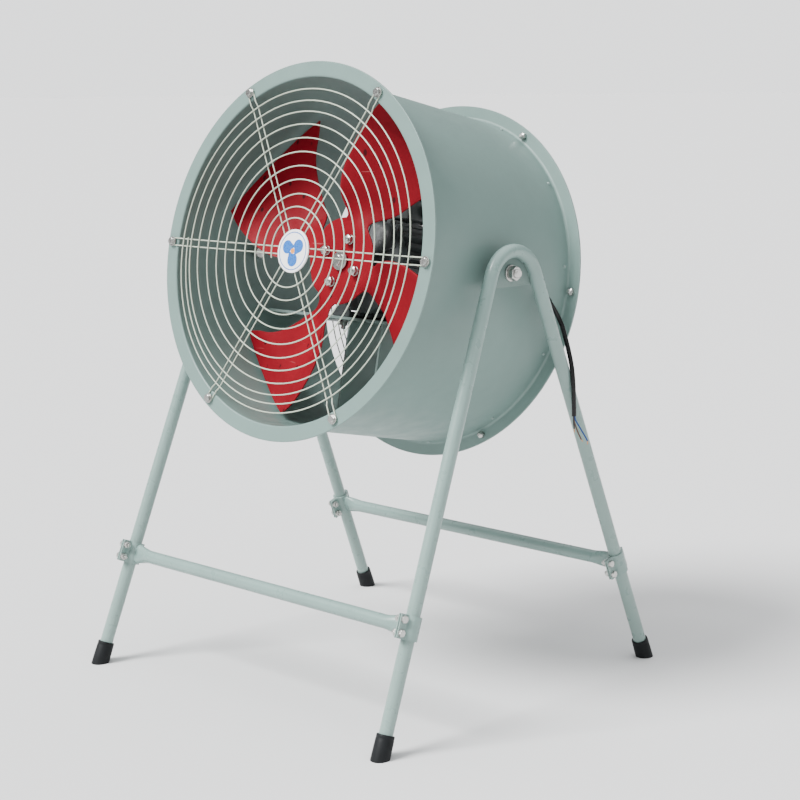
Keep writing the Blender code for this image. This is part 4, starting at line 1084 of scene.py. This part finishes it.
def crossbar(end_name):
    """Round bar whose ends flatten and widen into the inner clamp halves."""
    end = ENDS[end_name]
    joint = clamp_frame("right", end_name).translation
    flare = 0.048
    rings = []
    shares = [step / 14 for step in range(15)]
    for side, order in ((-1, reversed(shares)), (1, shares)):
        for share in order:
            x = side * (joint.x - flare + (flare - 0.0095) * share)
            grow = smoothstep(share)
            height = TUBE_RADIUS + 0.0052 * grow
            depth = TUBE_RADIUS - 0.0040 * grow
            place = shift(x, joint.y, joint.z) @ Matrix.Rotation(end * LEG_SPLAY * grow, 4, "X")
            rings.append([place @ Vector((0, depth * p.x, height * p.y)) for p in circle(1, 0, 32)])
    shapes = [loft(rings)]
    for side_name, side in SIDES.items():
        shapes.append(moved(clamp_half(-side), clamp_frame(side_name, end_name)))
    piece(f"cross_tube_{end_name}", merged(shapes), "stand", "stand_paint", [f"crossbar_{end_name}"],
          sharp=30)


def cut_at_floor(shape):
    mesh, bm = mesh_of("cut", shape)
    bpy.data.meshes.remove(mesh)
    bmesh.ops.bisect_plane(bm, geom=bm.verts[:] + bm.edges[:] + bm.faces[:], plane_co=(0, 0, FLOOR_CUT),
                           plane_no=(0, 0, 1), clear_inner=True)
    bmesh.ops.holes_fill(bm, edges=[edge for edge in bm.edges if edge.is_boundary])
    return shape_of(bm)


def rubber_feet():
    """Caps pushed over the leg ends, their rounded ends cut flat by the floor."""
    inner = TUBE_RADIUS + GAP
    profile = [(inner, 0.0325), (inner + 0.0006, 0.0338)]
    profile += levels(0, ((11.8, 34), (12.6, 33.4), (12.9, 32), (12.9, 30), (12.6, 29), (13, 27.5),
                          (13.4, 6)))
    profile += arc((0.0074, -0.0040), 0.0060, 0, -90, 8)
    profile += [(0.002, -0.0100)]
    for side_name in SIDES:
        for end_name in ENDS:
            where = f"{end_name}_{side_name}"
            cap = moved(turned(profile, 64), leg_frame(side_name, end_name, 1.0))
            piece(f"foot_cap_{where}", cut_at_floor(cap), "stand", "black_rubber",
                  [f"rubber_foot_{where}"])


# ---- cable --------------------------------------------------------------
def cable():
    path = smooth_path(CORD_ROUTE, 6)
    length = sum((b - a).length for a, b in zip(path, path[1:]))
    tube = piece("supply_cable", sweep(path, CORD_RADIUS, 20), None, "cable_sheath", ["power_cable"])
    cores = bare_cores()
    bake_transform(tube)


def cable_boot():
    """Rubber sleeve through the drum's wall, ribbed where it bends down."""
    path = smooth_path(BOOT_PATH, 12)
    radii = []
    for index in range(len(path)):
        share = index / (len(path) - 1)
        taper = BOOT_TAPER * smoothstep((share - 0.35) / 0.65)
        groove = BOOT_GROOVE * (share > 0.42) * (index % 6 in (0, 1))
        neck = BOOT_NECK * (share <= 0.22)
        radii.append(BOOT_RADIUS - taper - groove - neck)
    piece("cable_sleeve", sweep(path, BOOT_RADIUS, 24, radii=radii), "drum", "black_rubber", ["cable_boot"])


def bare_cores():
    """Three stripped cores that fan out below the sheath's end."""
    end = Vector(CORD_ROUTE[-1])
    low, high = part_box("cable_cores")
    corner = Vector((high.x, high.y, low.z))
    blue = steps_from(end, ((0.8, 0.8, 2), (1.2, 2.2, -6)))
    blue += steps_from(end.lerp(corner, 0.5), ((-0.5, 2, -1),))
    blue += steps_from(corner, ((-2, -2, 8), (-1.6, -1.6, 2)))
    brown = steps_from(end, ((-0.6, 0.4, 2), (-0.4, 1.2, -8), (1.4, 6, -22), (4, 11.8, -35),
                             (5.8, 14.6, -39.5)))
    black = steps_from(end, ((0, -1, 2), (-0.2, -0.8, -8), (0, 0.6, -18), (0.1, 1.4, -24.5)))
    pieces = []
    for name, route, material in (("blue", blue, MATERIALS["core_insulation"]),
                                  ("brown", brown, CORE_BROWN), ("black", black, CORE_BLACK)):
        path = smooth_path(route, 8)
        bare = 7
        core = piece(f"core_{name}", sweep(path[:-bare], CORE_RADIUS, 12), "stand", "core_insulation",
                     ["cable_cores"] if name == "blue" else (), material=material)
        strands = piece(f"strands_{name}", sweep(path[-bare - 2:], STRAND_RADIUS, 8), "stand",
                        "core_insulation", material=COPPER)
        pieces += [core, strands]
    return pieces


# ---- stage --------------------------------------------------------------
FLOOR_GREY = 0.66
SURROUND_STRENGTH = 2.4
HORIZON = (0.775, 0.782, 0.790)
ZENITH = (0.96, 0.98, 1.0)
BANDS = ((0.16, 0.075), (0.55, 0.10), (0.78, 0.78))     # height of a direction, its level
LAMPS = (("key", (-0.28, -0.60, 0.75), 7.1, 24),        # name, direction to it, strength, degrees wide
         ("fill", (0.9, -0.5, 0.4), 0.35, 40))


def stage():
    bpy.ops.mesh.primitive_plane_add(size=600, location=(0, 0, 0))
    floor = bpy.context.object
    floor.name = "floor"
    material, _, shader = new_material("floor")
    shader.inputs["Base Color"].default_value = (*grey(FLOOR_GREY), 1)
    shader.inputs["Roughness"].default_value = 0.9
    floor.data.materials.append(material)


def studio():
    """Pale surround: bright at the horizon, dim above it, bright again overhead."""
    world = bpy.data.worlds.new("studio")
    world.use_nodes = True
    tree = world.node_tree
    toward = add_node(tree, "TexCoord", {}).outputs["Generated"]
    height = add_node(tree, "SeparateXYZ", {"Vector": toward}).outputs["Z"]
    bands = add_node(tree, "ValToRGB", {"Fac": height})
    elements = bands.color_ramp.elements
    elements[0].position = 0.07
    elements[0].color = (*HORIZON, 1)
    elements[1].position = 1.0
    elements[1].color = (*ZENITH, 1)
    for position, level in BANDS:
        elements.new(position).color = (level, level * 1.01, level * 1.03, 1)
    background = tree.nodes["Background"]
    tree.links.new(bands.outputs["Color"], background.inputs["Color"])
    background.inputs["Strength"].default_value = SURROUND_STRENGTH
    bpy.context.scene.world = world


def lights():
    """One broad key light from the upper left front and a weak fill from the right."""
    for name, toward, strength, spread in LAMPS:
        light = bpy.data.lights.new(name, "SUN")
        light.energy = strength
        light.angle = math.radians(spread)
        lamp = bpy.data.objects.new(name, light)
        lamp.rotation_euler = Vector(toward).to_track_quat("Z", "Y").to_euler()
        bpy.context.scene.collection.objects.link(lamp)


CAMERA_PLACE = (1.9041, -1.9366, 0.8892)
CAMERA_YAW = 0.760
CAMERA_PITCH = -0.1721
CAMERA_ROLL = -0.0073
CAMERA_LENS = 80.13


def camera():
    data = bpy.data.cameras.new("camera")
    data.lens = CAMERA_LENS
    data.sensor_width = 36
    obj = bpy.data.objects.new("camera", data)
    level = Matrix.Rotation(CAMERA_YAW, 4, "Z") @ Matrix.Rotation(math.pi / 2 + CAMERA_PITCH, 4, "X")
    obj.matrix_world = Matrix.Translation(CAMERA_PLACE) @ level @ Matrix.Rotation(CAMERA_ROLL, 4, "Z")
    bpy.context.scene.collection.objects.link(obj)
    bpy.context.scene.camera = obj


# ---- build --------------------------------------------------------------
camera()
stage()
studio()
lights()
cable_boot()
cable()
inner_lead()
drum_casing()
casing_welds()
for guard_name, guard_facing in (("front", 1), ("rear", -1)):
    guard(guard_name, guard_facing)
    guard_bolts(guard_name, guard_facing)
badge()
motor_support()
motor_frame()
motor_bolts()
motor_front_shield()
terminal_box()
impeller()
hub_boss()
hub_bolts()
shaft_screw()
side_frames()
pivot_plates()
pivot_fasteners()
clamps()
for bar_end in ENDS:
    crossbar(bar_end)
rubber_feet()
for carried, carried_slot in (("stator_core", "lamination_steel"), ("motor_rotor", "machined_steel")):
    frame["nodes"][carried].data.materials.clear()
    frame["nodes"][carried].data.materials.append(MATERIALS[carried_slot])
